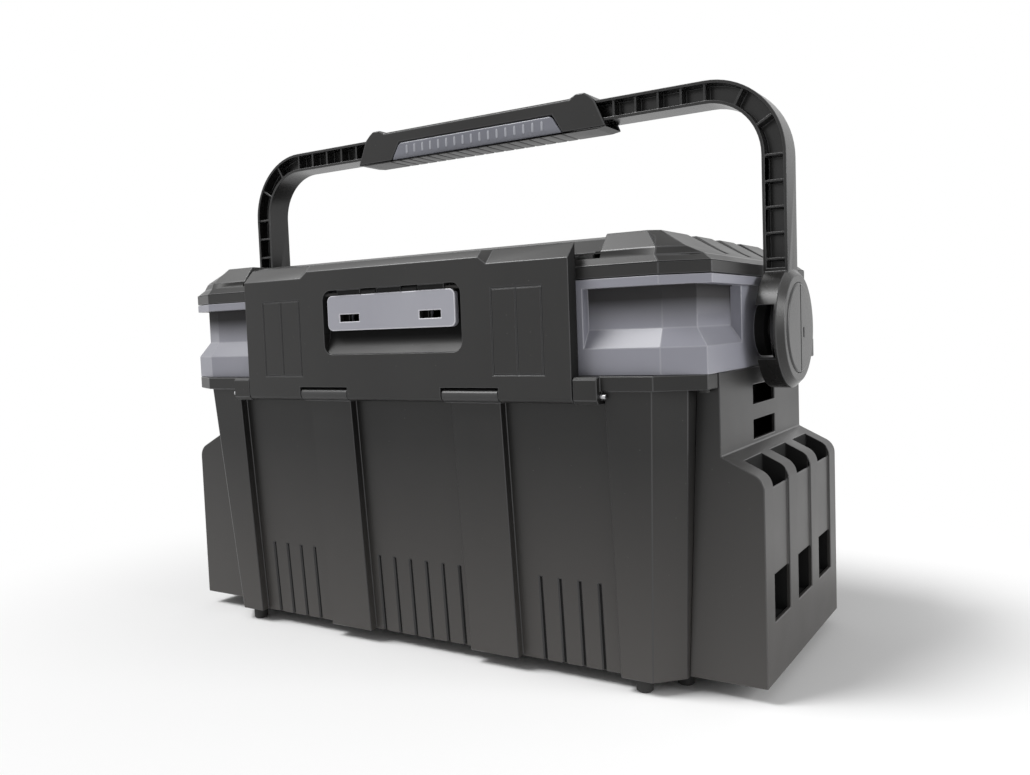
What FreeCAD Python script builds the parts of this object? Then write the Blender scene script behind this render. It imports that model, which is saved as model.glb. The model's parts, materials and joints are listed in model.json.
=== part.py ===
import FreeCAD, Part
import math
import os

import Sketcher
from FreeCAD import Placement, Rotation, Vector

# Fishing seat box: a moulded tub with rod racks, a grey upper frame, a lid to sit on,
# a front flap with a latch paddle and a swinging carrying handle.
# Millimetres. X runs along the box, -Y is the front, Z is up. The origin is on the
# floor under the middle of the box.

# Driving sizes, each written once. They become the cells of the spreadsheet.
SIZES = {
    # Heights of the stack
    "foot_height": 10.0,
    "tub_height": 200.0,
    "rim_height": 10.0,
    "frame_height": 65.0,
    "skirt_height": 8.2,
    "seat_base_height": 4.6,
    "bar_height": 17.6,
    # Tub
    "tub_base_half_length": 218.0,
    "tub_base_half_depth": 118.0,
    "tub_side_flare": 10.0,
    "tub_front_flare": 12.7,
    "tub_corner": 18.0,
    "tub_wall": 3.0,
    "tub_floor": 4.0,
    "bay_depth": 7.0,
    "bay_top_gap": 6.0,
    "inner_pilaster_start": 49.6,
    "inner_pilaster_end": 92.6,
    "corner_pilaster_start": 176.0,
    "groove_width": 2.8,
    "groove_depth": 1.2,
    "groove_height": 63.5,
    "groove_pitch": 16.0,
    "groove_first": 8.0,
    "groove_side_first": 112.0,
    "rim_half_length": 243.0,
    "rim_half_depth": 133.0,
    "rim_corner_x": 31.0,
    "rim_corner_y": 17.0,
    # Feet
    "foot_diameter": 12.0,
    "foot_chamfer": 1.2,
    "spigot_diameter": 6.0,
    "spigot_height": 2.4,
    "foot_outer_x": 210.0,
    "foot_outer_y": 83.0,
    "foot_inner_x": 189.5,
    "foot_inner_y": 108.0,
    # Front hinge
    "hinge_pin_diameter": 3.6,
    "hinge_axis_z": 206.6,
    "knuckle_radius": 5.0,
    "front_knuckle_start": 46.3,
    "front_knuckle_end": 95.6,
    "bracket_start": 156.0,
    "bracket_end": 174.0,
    "bracket_height": 19.0,
    "pin_stand_out": 4.5,
    # Front flap
    "flap_half_length": 155.3,
    "flap_front_y": 138.0,
    "flap_thickness": 11.0,
    "flap_top_z": 310.5,
    "flap_shell": 3.0,
    "flap_middle_bevel": 5.5,
    "flap_end_bevel": 10.5,
    "flap_middle_half": 83.0,
    "flap_bevel_run": 7.0,
    "window_top_z": 212.4,
    "recess_half_length": 66.9,
    "recess_bottom_z": 238.4,
    "recess_top_z": 288.8,
    "recess_corner": 8.0,
    "recess_depth": 8.0,
    "scoop_height": 16.0,
    "panel_start": 92.7,
    "panel_end": 134.7,
    "panel_bottom_z": 221.0,
    "panel_top_z": 283.0,
    "panel_line": 1.2,
    "panel_line_depth": 0.5,
    # Latch paddle
    "paddle_half_length": 62.0,
    "paddle_bottom_z": 257.0,
    "paddle_top_z": 284.6,
    "paddle_thickness": 5.0,
    "paddle_corner": 5.0,
    "slot_start": 29.5,
    "slot_end": 49.0,
    "slot_bottom_z": 264.0,
    "slot_height": 5.5,
    "latch_pin_diameter": 3.0,
    "latch_pin_seat": 3.0,
    "latch_knuckle_radius": 2.6,
    "latch_axis_depth": 3.6,
    "latch_axis_rise": 1.2,
    "hook_window": 14.0,
    "hook_window_bottom_z": 260.0,
    "hook_window_top_z": 278.0,
    "hook_room": 1.5,
    "hook_bottom_z": 270.0,
    "hook_height": 4.0,
    "lug_width": 24.0,
    "lug_pitch": 40.0,
    # Upper frame
    "frame_half_depth": 126.6,
    "frame_corner_x": 215.0,
    "frame_end_x": 246.0,
    "frame_corner_y": 112.5,
    "belt_end_x": 243.0,
    "belt_corner_y": 116.0,
    "belt_height": 18.3,
    "ledge_height": 12.5,
    "grip_top_height": 58.7,
    "recess_into_frame": 8.5,
    "post_width": 4.2,
    "frame_wall": 3.0,
    "grip_end_y": 46.0,
    # Lid
    "lid_gap": 0.4,
    "lid_wall": 3.0,
    "seat_end_x": 240.0,
    "seat_front_y": 124.2,
    "seat_corner_y": 109.0,
    "deck_height": 5.3,
    "deck_end_x": 229.4,
    "deck_front_y": 122.0,
    "deck_corner_y": 113.5,
    "block_corner_x": 212.0,
    "bar_top_x": 209.0,
    "bar_pitch": 50.0,
    "bar_width": 40.0,
    "bar_side_slope": 4.0,
    "front_bar_back_y": 54.6,
    "front_bar_top_y": 112.0,
    "front_bar_facet": 7.0,
    "set_back_half": 172.0,
    "set_back_low_y": 119.0,
    "set_back_mid_y": 109.5,
    "set_back_mid_z": 312.6,
    "set_back_high_y": 86.0,
    "edge_notch_x": 168.4,
    "edge_notch_width": 3.3,
    "edge_notch_depth": 4.0,
    "end_notch_depth": 3.0,
    "lid_rib": 2.4,
    # Rear hinge
    "rear_axis_y": 132.5,
    "rear_axis_z": 288.0,
    "rear_knuckle_radius": 5.5,
    "rear_pin_diameter": 4.0,
    "rear_knuckle_pitch": 45.0,
    # Rod racks
    "rack_half_width": 97.2,
    "rack_outer_x": 272.5,
    "rack_bottom_z": 11.0,
    "rack_outer_top_z": 150.0,
    "rack_inner_top_z": 164.3,
    "rack_edge_radius": 12.0,
    "tower_x": 244.0,
    "tower_wall": 3.0,
    "socket_pitch": 59.0,
    "socket_width": 38.0,
    "socket_inner_x": 253.5,
    "rack_wall": 3.0,
    "rack_face_recess": 1.5,
    "mouth_bottom_z": 141.7,
    "drain_bottom_z": 51.0,
    "drain_top_z": 82.0,
    "socket_floor_z": 48.0,
    "tower_window_half": 26.5,
    "lower_window_z": 167.4,
    "upper_window_z": 193.0,
    "window_height": 14.0,
    "lug_rest_foot_z": 212.0,
    "lug_rest_step_z": 222.0,
    "lug_rest_neck_x": 250.0,
    "lug_rest_start": 246.6,
    "lug_rest_end": 256.6,
    "lug_rest_depth": 9.0,
    "rack_screw_y": 78.0,
    "rack_screw_low_z": 40.0,
    "rack_screw_high_z": 130.0,
    # Handle
    "pivot_z": 247.0,
    "pivot_pin_diameter": 12.0,
    "pivot_boss_radius": 20.0,
    "bail_inner_x": 249.5,
    "bail_outer_x": 267.5,
    "bail_front_y": 15.0,
    "bail_depth": 25.0,
    "bail_top_z": 431.6,
    "bar_thickness": 17.0,
    "bail_corner_radius": 60.0,
    "flange_thickness": 2.4,
    "web_thickness": 3.0,
    "rib_thickness": 1.8,
    "rib_set_back": 1.2,
    "rib_pitch": 18.6,
    "disc_radius": 43.8,
    "disc_thickness": 20.0,
    "disc_inner_x": 251.0,
    "disc_chamfer": 5.0,
    "disc_wall": 3.0,
    "cap_radius": 33.0,
    "cap_thickness": 3.0,
    "disc_notch_bottom_z": 226.0,
    "disc_notch_top_z": 264.0,
    "disc_notch_depth": 8.0,
    "disc_notch_width": 13.0,
    "hub_length": 11.0,
    "hub_radius": 12.0,
    "pivot_head_radius": 10.0,
    "pivot_head_height": 3.5,
    "cap_crown": 1.0,
    "cap_seam": 0.8,
    "cap_slot_y": 6.0,
    "cap_slot_width": 3.0,
    "cap_slot_height": 7.0,
    # Grip
    "grip_bottom_half": 127.5,
    "grip_top_half": 118.0,
    "grip_top_z": 436.0,
    "grip_bump_z": 438.7,
    "grip_bump_x": 105.3,
    "grip_bump_half": 8.0,
    "grip_cover": 2.0,
    "grip_under_z": 408.7,
    "grip_joint_z": 410.0,
    "insert_bottom_half": 88.7,
    "insert_top_half": 79.4,
    "insert_top_z": 425.3,
    "insert_ribs": 17.0,
    "insert_rib_height": 0.6,
    "scallop_depth": 1.0,
    # Fits
    "clearance": 0.3,
    "pin_fit": 0.1,
    "screw_diameter": 4.0,
    "screw_head_diameter": 8.0,
    "screw_head_height": 2.5,
    "screw_length": 12.0,
    "frame_screw_x": 235.0,
    "frame_screw_y": 103.0,
}

doc = FreeCAD.newDocument("SeatBox")
sheet = doc.addObject("Spreadsheet::Sheet", "Sizes")
for row, (size_name, size_value) in enumerate(SIZES.items(), start=1):
    sheet.set(f"A{row}", size_name)
    sheet.set(f"B{row}", str(size_value))
    sheet.setAlias(f"B{row}", size_name)
doc.recompute()


class Length:
    """A number together with the spreadsheet formula that gives it."""

    def __init__(self, value, formula):
        self.value = float(value)
        self.formula = formula

    def __add__(self, other):
        other = linked(other)
        return Length(self.value + other.value, f"({self.formula} + {other.formula})")

    def __radd__(self, other):
        return linked(other) + self

    def __sub__(self, other):
        other = linked(other)
        return Length(self.value - other.value, f"({self.formula} - {other.formula})")

    def __rsub__(self, other):
        return linked(other) - self

    def __mul__(self, other):
        other = linked(other)
        return Length(self.value * other.value, f"({self.formula} * {other.formula})")

    def __rmul__(self, other):
        return linked(other) * self

    def __truediv__(self, other):
        other = linked(other)
        return Length(self.value / other.value, f"({self.formula} / {other.formula})")

    def __neg__(self):
        return linked(0) - self

    def __float__(self):
        return self.value


def linked(number):
    """The number as a Length, so that it can stand in a formula."""
    if isinstance(number, Length):
        return number
    return Length(number, repr(float(number)))


class Sizes:
    """Every cell of the sheet as a Length, by its alias."""

    def __init__(self, names):
        for name in names:
            setattr(self, name, Length(sheet.get(name), f"Sizes.{name}"))


s = Sizes(SIZES)
PLANES = {"XY": "XY_Plane", "XZ": "XZ_Plane", "YZ": "YZ_Plane"}
pieces = []


def new_body(name):
    """A sub-part: a body whose label is its node's name."""
    body = doc.addObject("PartDesign::Body", name)
    body.Label = name
    body.Placement = Placement()
    pieces.append(body)
    return body


def bind(item, prop, length):
    """Tie one property to the sheet."""
    item.setExpression(prop, linked(length).formula)


def origin_plane(body, plane):
    """The body's own origin plane."""
    for feature in body.Origin.OriginFeatures:
        if feature.Role == PLANES[plane]:
            return feature
    raise ValueError(plane)


def new_sketch(body, name, plane, offset):
    """An empty sketch on an origin plane, moved along the plane's normal."""
    sketch = body.newObject("Sketcher::SketchObject", name)
    sketch.AttachmentSupport = [(origin_plane(body, plane), "")]
    sketch.MapMode = "FlatFace"
    sketch.AttachmentOffset = Placement(Vector(0, 0, float(offset)), Rotation())
    bind(sketch, "AttachmentOffset.Base.z", offset)
    return sketch


def fix_point(sketch, index, place, point, prefix):
    """Hold one end of an edge at two distances from the origin."""
    for axis, kind, coordinate in ((0, "DistanceX", point[0]), (1, "DistanceY", point[1])):
        coordinate = linked(coordinate)
        on_axis = -2 if axis == 0 else -1
        if coordinate.formula == "0.0":
            sketch.addConstraint(Sketcher.Constraint("PointOnObject", index, place, on_axis))
            continue
        number = sketch.addConstraint(
            Sketcher.Constraint(kind, -1, 1, index, place, coordinate.value))
        sketch.renameConstraint(number, f"{prefix}_{'xy'[axis]}")
        bind(sketch, f"Constraints.{prefix}_{'xy'[axis]}", coordinate)


def draw_polygon(sketch, points):
    """A closed outline. A point (x, y, radius, center) starts an arc instead of a line."""
    first = len(sketch.Geometry)
    count = len(points)
    ends = [Vector(float(point[0]), float(point[1]), 0) for point in points]
    starts, stops = [], []
    for number, point in enumerate(points):
        start, stop = ends[number], ends[(number + 1) % count]
        turning = len(point) > 2 and add_arc(sketch, start, stop, point[2], point[3])
        if len(point) == 2:
            sketch.addGeometry(Part.LineSegment(start, stop), False)
        starts.append(2 if turning else 1)
        stops.append(1 if turning else 2)
    for number, point in enumerate(points):
        index = first + number
        after = (number + 1) % count
        sketch.addConstraint(
            Sketcher.Constraint("Coincident", index, stops[number], first + after, starts[after]))
        fix_point(sketch, index, starts[number], point[:2], f"p{index}")
        if len(point) > 2:
            constraint = sketch.addConstraint(
                Sketcher.Constraint("Radius", index, float(point[2])))
            sketch.renameConstraint(constraint, f"r{index}")
            bind(sketch, f"Constraints.r{index}", point[2])


def add_arc(sketch, start, stop, radius, center):
    """An arc between two points. True where it turns clockwise, stored end first."""
    middle = Vector(float(center[0]), float(center[1]), 0)
    clockwise = (start - middle).cross(stop - middle).z < 0
    begin, end = (stop, start) if clockwise else (start, stop)
    angles = [math.atan2((point - middle).y, (point - middle).x) for point in (begin, end)]
    circle = Part.Circle(middle, Vector(0, 0, 1), float(radius))
    sketch.addGeometry(Part.ArcOfCircle(circle, angles[0], angles[1]), False)
    return clockwise


def draw_circle(sketch, center, radius):
    """A circle held at its centre, with its radius bound."""
    index = len(sketch.Geometry)
    place = Vector(float(center[0]), float(center[1]), 0)
    sketch.addGeometry(Part.Circle(place, Vector(0, 0, 1), float(radius)), False)
    fix_point(sketch, index, 3, center, f"c{index}")
    number = sketch.addConstraint(Sketcher.Constraint("Radius", index, float(radius)))
    sketch.renameConstraint(number, f"r{index}")
    bind(sketch, f"Constraints.r{index}", radius)


def draw(sketch, outlines):
    """Every outline: a list of points, or a (center, radius) pair."""
    for outline in outlines:
        if isinstance(outline, tuple):
            draw_circle(sketch, outline[0], outline[1])
        else:
            draw_polygon(sketch, outline)


def tidy_name(body, text):
    """A feature name that says its body."""
    return f"{body.Name}_{text}"


def prism(body, text, plane, low, high, outlines, cut=False):
    """Outlines carried from low to high along the plane's axis, added or cut away."""
    toward_front = plane == "XZ"
    start = high if cut != toward_front else low
    offset = -linked(start) if toward_front else linked(start)
    sketch = new_sketch(body, tidy_name(body, f"{text}_sketch"), plane, offset)
    draw(sketch, outlines)
    kind = "PartDesign::Pocket" if cut else "PartDesign::Pad"
    feature = body.newObject(kind, tidy_name(body, text))
    feature.Profile = sketch
    feature.Refine = False
    feature.Type = "Length"
    feature.Length = float(high) - float(low)
    bind(feature, "Length", linked(high) - linked(low))
    return feature


def loft(body, text, plane, low, high, low_outline, high_outline, cut=False):
    """A ruled solid between two outlines with as many corners each."""
    kind = "PartDesign::SubtractiveLoft" if cut else "PartDesign::AdditiveLoft"
    sketches = []
    for end, place, outline in (("low", low, low_outline), ("high", high, high_outline)):
        offset = -linked(place) if plane == "XZ" else linked(place)
        sketch = new_sketch(body, tidy_name(body, f"{text}_{end}"), plane, offset)
        draw(sketch, [outline])
        sketches.append(sketch)
    feature = body.newObject(kind, tidy_name(body, text))
    feature.Profile = sketches[0]
    feature.Sections = [sketches[1]]
    feature.Ruled = True
    feature.Refine = False
    return feature


def rectangle(x_low, x_high, y_low, y_high):
    """Four corners, anticlockwise."""
    return [(x_low, y_low), (x_high, y_low), (x_high, y_high), (x_low, y_high)]


def octagon(half_x, half_y, corner_x, corner_y=None):
    """A rectangle about the origin with its corners cut off."""
    corner_y = corner_x if corner_y is None else corner_y
    near_x = half_x - corner_x
    near_y = half_y - corner_y
    return [(near_x, -half_y), (half_x, -near_y), (half_x, near_y), (near_x, half_y),
            (-near_x, half_y), (-half_x, near_y), (-half_x, -near_y), (-near_x, -half_y)]


def mirrored(points, axis):
    """The points on the other side of an axis, in the same turning sense."""
    if axis == "x":
        turned = [(-linked(x), y) for x, y in points]
    else:
        turned = [(x, -linked(y)) for x, y in points]
    return turned[::-1]


def fillet_where(body, text, radius, wanted):
    """Round the edges for which wanted(edge) holds."""
    doc.recompute()
    base = body.Tip
    names = [f"Edge{n}" for n, edge in enumerate(base.Shape.Edges, start=1) if wanted(edge)]
    feature = body.newObject("PartDesign::Fillet", tidy_name(body, text))
    feature.Base = (base, names)
    feature.Radius = float(radius)
    bind(feature, "Radius", radius)
    return feature


def chamfer_where(body, text, size, wanted):
    """Bevel the edges for which wanted(edge) holds."""
    doc.recompute()
    base = body.Tip
    names = [f"Edge{n}" for n, edge in enumerate(base.Shape.Edges, start=1) if wanted(edge)]
    feature = body.newObject("PartDesign::Chamfer", tidy_name(body, text))
    feature.Base = (base, names)
    feature.Size = float(size)
    bind(feature, "Size", size)
    return feature


def along(edge, axis):
    """True for a straight edge along an axis."""
    if not isinstance(edge.Curve, (Part.Line, Part.LineSegment)):
        return False
    direction = edge.Curve.Direction
    return abs(abs(getattr(direction, axis)) - 1) < 1e-6


def at(edge, **places):
    """True where the middle of the edge lies at the given coordinates."""
    middle = edge.CenterOfMass
    return all(abs(getattr(middle, axis) - float(value)) < 0.05
               for axis, value in places.items())


# Heights that several pieces share
tub_base_z = s.foot_height
rim_base_z = tub_base_z + s.tub_height
frame_base_z = rim_base_z + s.rim_height
frame_top_z = frame_base_z + s.frame_height
lid_base_z = frame_top_z + s.lid_gap
skirt_top_z = lid_base_z + s.skirt_height
seat_base_z = skirt_top_z + s.seat_base_height
lid_top_z = seat_base_z + s.bar_height

# Planes of the tub, the frame and the flap
tub_top_half_length = s.tub_base_half_length + s.tub_side_flare
tub_top_half_depth = s.tub_base_half_depth + s.tub_front_flare
flap_back_y = s.flap_front_y - s.flap_thickness
hinge_axis_y = s.flap_front_y - s.knuckle_radius


def tub_half_depth(height):
    """Half depth of the tub at a height above its base."""
    return s.tub_base_half_depth + s.tub_front_flare * height / s.tub_height


def tub_half_length(height):
    """Half length of the tub at a height above its base."""
    return s.tub_base_half_length + s.tub_side_flare * height / s.tub_height


def build_tub():
    """The tub: flared walls with pilasters and bays, a rim, hinge knuckles and brackets."""
    body = new_body("tub")
    bay_top_z = rim_base_z - s.bay_top_gap
    add_wall(body, "bays", tub_base_z, bay_top_z, wall_outline_with_bays)
    add_wall(body, "collar", bay_top_z, rim_base_z, wall_outline)
    cut_grooves(body)
    rim_outline = octagon(s.rim_half_length, s.rim_half_depth, s.rim_corner_x, s.rim_corner_y)
    prism(body, "rim", "XY", rim_base_z, frame_base_z, [rim_outline])
    reach = s.rack_half_width + s.clearance
    seats = [rectangle(tub_top_half_length, s.rim_half_length + 1, -reach, reach)]
    seats.append(mirrored(seats[0], "x"))
    prism(body, "tower_seats", "XY", rim_base_z, frame_base_z, seats, cut=True)
    cut_flap_room(body)
    pilaster_top_z = bay_top_z - s.bay_top_gap
    cut_cavity(body, "cavity", tub_base_z + s.tub_floor, pilaster_top_z, True)
    cut_cavity(body, "mouth", pilaster_top_z, frame_base_z, False)
    add_front_knuckles(body)
    spigot_hole = s.spigot_diameter / 2 + s.pin_fit
    prism(body, "foot_holes", "XY", tub_base_z, tub_base_z + s.spigot_height + s.clearance,
          [((x, y), spigot_hole) for x, y in foot_places()], cut=True)
    cut_rack_screw_holes(body)
    cut_frame_screw_holes(body)


def foot_places():
    """Centres of the eight feet."""
    places = []
    for x_sign in (-1, 1):
        for y_sign in (-1, 1):
            places.append((x_sign * s.foot_outer_x, y_sign * s.foot_outer_y))
            places.append((x_sign * s.foot_inner_x, y_sign * s.foot_inner_y))
    return places


def grooved_bays():
    """The recessed stretches from left to right, each with its grooves' middles."""
    side = [s.groove_side_first + s.groove_pitch * count for count in range(4)]
    middle = [s.groove_first + s.groove_pitch * count for count in range(3)]
    return ((-s.corner_pilaster_start, -s.inner_pilaster_end, [-x for x in side[::-1]]),
            (-s.inner_pilaster_start, s.inner_pilaster_start,
             [-x for x in middle[::-1]] + middle),
            (s.inner_pilaster_end, s.corner_pilaster_start, side))


def closed_plan(front, half_length, corner_y):
    """A closed plan outline: the front line, the ends, and the front line mirrored back."""
    back = [(x, -linked(y)) for x, y in front[::-1]]
    right = [(half_length, corner_y), (half_length, -corner_y)]
    left = [(-half_length, -corner_y), (-half_length, corner_y)]
    return front + right + back + left


def wall_outline(level, bays=False):
    """The tub's outer plan at a height above its base."""
    face = -tub_half_depth(level)
    half_length = tub_half_length(level)
    corner_x = half_length - s.tub_corner
    front = [(-corner_x, face)]
    for start, end, _ in grooved_bays() if bays else ():
        wall = face + s.bay_depth
        front += [(start, face), (start, wall), (end, wall), (end, face)]
    front.append((corner_x, face))
    return closed_plan(front, half_length, face + s.tub_corner)


def wall_outline_with_bays(level):
    """The outer plan with the bays between the pilasters."""
    return wall_outline(level, bays=True)


def add_wall(body, text, low, high, outline_at):
    """One stretch of the flared wall between two heights."""
    loft(body, text, "XY", low, high, outline_at(low - tub_base_z), outline_at(high - tub_base_z))


def groove_comb(level, middles):
    """A comb in the plan: its teeth cut one bay's grooves, its back stays outside the wall."""
    wall = -tub_half_depth(level) + s.bay_depth
    outside = wall - s.bay_depth / 2
    bottom = wall + s.groove_depth
    half = s.groove_width / 2
    teeth = []
    for middle in middles:
        teeth += [(middle - half, wall - 1), (middle - half, bottom),
                  (middle + half, bottom), (middle + half, wall - 1)]
    return [(middles[-1] + half, outside), (middles[0] - half, outside)] + teeth[1:-1]


def cut_grooves(body):
    """Upright grooves low on the bays, parallel to the flared wall."""
    for number, (_, _, middles) in enumerate(grooved_bays()):
        low = groove_comb(linked(0), middles)
        high = groove_comb(s.groove_height, middles)
        for y_side in ("front", "back"):
            if y_side == "back":
                low, high = mirrored(low, "y"), mirrored(high, "y")
            loft(body, f"grooves_{number}_{y_side}", "XY",
                 tub_base_z, tub_base_z + s.groove_height, low, high, cut=True)


def cut_flap_room(body):
    """Set the rim back behind the flap, so that the flap can turn."""
    room_base_z = s.hinge_axis_z - s.knuckle_radius - 2 * s.clearance
    room = s.bracket_start - s.clearance
    back = -s.frame_half_depth + s.clearance
    prism(body, "flap_room", "XY", room_base_z, frame_base_z,
          [rectangle(-room, room, -s.rim_half_depth - 1, back)], cut=True)


def cavity_outline(level, pilasters):
    """The inner plan at a height: an even wall behind bays, corners and pilasters."""
    outer = -tub_half_depth(level) + s.tub_wall
    inner = outer + s.bay_depth
    half_length = tub_half_length(level) - s.tub_wall
    corner = s.tub_corner - s.tub_wall / 2
    corner_start = s.corner_pilaster_start + s.tub_wall
    front = [(-half_length + corner, outer), (-corner_start, outer), (-corner_start, inner)]
    start, end = s.inner_pilaster_start + s.tub_wall, s.inner_pilaster_end - s.tub_wall
    for left, right in ((-end, -start), (start, end)) if pilasters else ():
        front += [(left, inner), (left, outer), (right, outer), (right, inner)]
    front += [(corner_start, inner), (corner_start, outer), (half_length - corner, outer)]
    return closed_plan(front, half_length, outer + corner)


def cut_cavity(body, text, low, high, pilasters):
    """Hollow the tub between two heights."""
    loft(body, text, "XY", low, high, cavity_outline(low - tub_base_z, pilasters),
         cavity_outline(high - tub_base_z, pilasters), cut=True)


def add_front_knuckles(body):
    """Barrels over the inner pilasters and a bracket at each end carry the flap's pin."""
    back = s.frame_half_depth - s.clearance
    base_z = s.hinge_axis_z - s.knuckle_radius - 2 * s.clearance
    top_z = s.hinge_axis_z + s.knuckle_radius
    center = (-hinge_axis_y, s.hinge_axis_z)
    for side, sign in (("left", -1), ("right", 1)):
        spans = ((s.front_knuckle_start, s.front_knuckle_end), (s.bracket_start, s.bracket_end))
        if sign < 0:
            spans = [(-end, -start) for start, end in spans]
        (low, high), (bracket_low, bracket_high) = spans
        web = rectangle(-hinge_axis_y, -back + 1, base_z, top_z)
        prism(body, f"knuckle_web_{side}", "YZ", low, high, [web])
        prism(body, f"knuckle_{side}", "YZ", low, high, [(center, s.knuckle_radius)])
        bracket_base_z = frame_base_z - s.bracket_height
        bracket = [(-back + 1, bracket_base_z), (-back + 1, frame_base_z),
                   (-s.flap_front_y + 2, frame_base_z), (-s.flap_front_y, frame_base_z - 2),
                   (-s.flap_front_y, bracket_base_z + 3), (-s.flap_front_y + 3, bracket_base_z)]
        prism(body, f"bracket_{side}", "YZ", bracket_low, bracket_high, [bracket])
    reach = s.bracket_end + 1
    prism(body, "pin_bore", "YZ", -reach, reach,
          [(center, s.hinge_pin_diameter / 2 + s.pin_fit / 2)], cut=True)


def build_feet():
    """Eight turned feet with a spigot each."""
    names = ("outer", "inner")
    for number, (x, y) in enumerate(foot_places()):
        side = "left" if float(x) < 0 else "right"
        end = "front" if float(y) < 0 else "rear"
        body = new_body(f"foot_{end}_{side}_{names[number % 2]}")
        radius = s.foot_diameter / 2
        prism(body, "pad", "XY", linked(0), s.foot_height, [((x, y), radius)])
        prism(body, "spigot", "XY", s.foot_height, s.foot_height + s.spigot_height,
              [((x, y), s.spigot_diameter / 2)])
        chamfer_where(body, "edge", s.foot_chamfer, lambda edge: at(edge, z=0))


def side_spans(sign, *spans):
    """Spans along X, turned over for the left side."""
    if sign > 0:
        return list(spans)
    return [(-high, -low) for low, high in spans]


SIDES = (("left", -1), ("right", 1))


def sided(points, sign):
    """An outline whose first coordinate is X, turned over for the left side."""
    return points if sign > 0 else mirrored(points, "x")


def build_rack(side, sign):
    """A rod rack: a pod with three sockets, a tower up to the rim and a rest for the handle."""
    body = new_body(f"rod_rack_{side}")
    foot_x = tub_half_length(s.rack_bottom_z - tub_base_z)
    reach = s.rack_half_width
    profile = [(foot_x, s.rack_bottom_z), (s.rack_outer_x, s.rack_bottom_z),
               (s.rack_outer_x, s.rack_outer_top_z), (s.tower_x, s.rack_inner_top_z),
               (s.tower_x, frame_base_z), (tub_top_half_length, frame_base_z),
               (tub_top_half_length, rim_base_z)]
    prism(body, "pod", "XZ", -reach, reach, [sided(profile, sign)])
    fillet_where(body, "shoulder", s.rack_edge_radius, lambda edge: along(edge, "y") and
                 at(edge, x=sign * s.rack_outer_x, z=s.rack_outer_top_z))
    back_x = s.socket_inner_x - s.rack_wall
    inside = reach - s.rack_wall
    tower_inner_x = s.tower_x - s.tower_wall
    low_z = s.rack_bottom_z + s.rack_wall
    hollow = [(foot_x - 2, low_z), (back_x, low_z), (back_x, s.rack_outer_top_z),
              (tower_inner_x, s.rack_inner_top_z - 2 * s.rack_wall),
              (tower_inner_x, frame_base_z - s.rack_wall),
              (tub_top_half_length - 2, frame_base_z - s.rack_wall),
              (tub_top_half_length - 2, rim_base_z)]
    prism(body, "hollow", "XZ", -inside, inside, [sided(hollow, sign)], cut=True)
    half = s.socket_width / 2
    outside_x = s.rack_outer_x + 1
    wells, faces = [], []
    for place in (-s.socket_pitch, linked(0), s.socket_pitch):
        low, high = place - half, place + half
        inner_face_x = s.rack_outer_x - s.rack_wall
        wells.append(sided(rectangle(s.socket_inner_x, inner_face_x, low, high), sign))
        faces.append(rectangle(low, high, s.drain_bottom_z, s.mouth_bottom_z))
        cut_socket_front(body, side, sign, place, low, high)
    prism(body, "wells", "XY", s.socket_floor_z, s.rack_inner_top_z, wells, cut=True)
    span = side_spans(sign, (s.rack_outer_x - s.rack_face_recess, outside_x))[0]
    prism(body, "faces", "YZ", span[0], span[1], faces, cut=True)
    windows = []
    for bottom in (s.lower_window_z, s.upper_window_z):
        windows.append(rectangle(-s.tower_window_half, s.tower_window_half,
                                 bottom, bottom + s.window_height))
    span = side_spans(sign, (tower_inner_x - 1, s.tower_x + 1))[0]
    prism(body, "windows", "YZ", span[0], span[1], windows, cut=True)
    add_handle_rest(body, sign)
    add_rack_bosses(body, sign)


def cut_socket_front(body, side, sign, place, low, high):
    """Open one socket's mouth and its drain through the outer wall."""
    number = round(float(place))
    name = f"{abs(number)}{'f' if number < 0 else 'b'}"
    outside_x = s.rack_outer_x + 1
    mouth = side_spans(sign, (s.socket_inner_x, outside_x))[0]
    prism(body, f"mouth_{name}", "YZ", mouth[0], mouth[1],
          [rectangle(low, high, s.mouth_bottom_z, s.rack_inner_top_z)], cut=True)
    drain = side_spans(sign, (s.rack_outer_x - s.rack_wall - 1, outside_x))[0]
    prism(body, f"drain_{name}", "YZ", drain[0], drain[1],
          [rectangle(low, high, s.drain_bottom_z, s.drain_top_z)], cut=True)


def add_handle_rest(body, sign):
    """A lug at the back of the tower, on which the folded handle lies."""
    reach = s.rack_half_width
    top_z = s.pivot_z + s.bail_front_y - s.bail_depth - s.clearance
    lug = [(s.tower_x - 1, s.lug_rest_foot_z), (s.lug_rest_neck_x, s.lug_rest_foot_z),
           (s.lug_rest_neck_x, s.lug_rest_step_z), (s.lug_rest_end, s.lug_rest_step_z),
           (s.lug_rest_end, top_z), (s.lug_rest_start, top_z),
           (s.lug_rest_start, frame_base_z), (s.tower_x - 1, frame_base_z)]
    prism(body, "rest", "XZ", reach - s.lug_rest_depth, reach, [sided(lug, sign)])


def rack_screw_places():
    """Middles of the rack's screws along Y and Z."""
    return [(y, z) for y in (-s.rack_screw_y, s.rack_screw_y)
            for z in (s.rack_screw_low_z, s.rack_screw_high_z)]


def add_rack_bosses(body, sign):
    """Four bosses behind the pod that the screws from inside the tub bite into."""
    for number, (y, z) in enumerate(rack_screw_places()):
        face_x = tub_half_length(z - tub_base_z)
        boss = side_spans(sign, (face_x + s.clearance, s.socket_inner_x - 1))[0]
        prism(body, f"boss_{number}", "YZ", boss[0], boss[1], [((y, z), s.screw_diameter)])
        bore = side_spans(sign, (face_x - 1, face_x + s.screw_length))[0]
        prism(body, f"bore_{number}", "YZ", bore[0], bore[1],
              [((y, z), s.screw_diameter / 2 + s.pin_fit)], cut=True)


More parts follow.
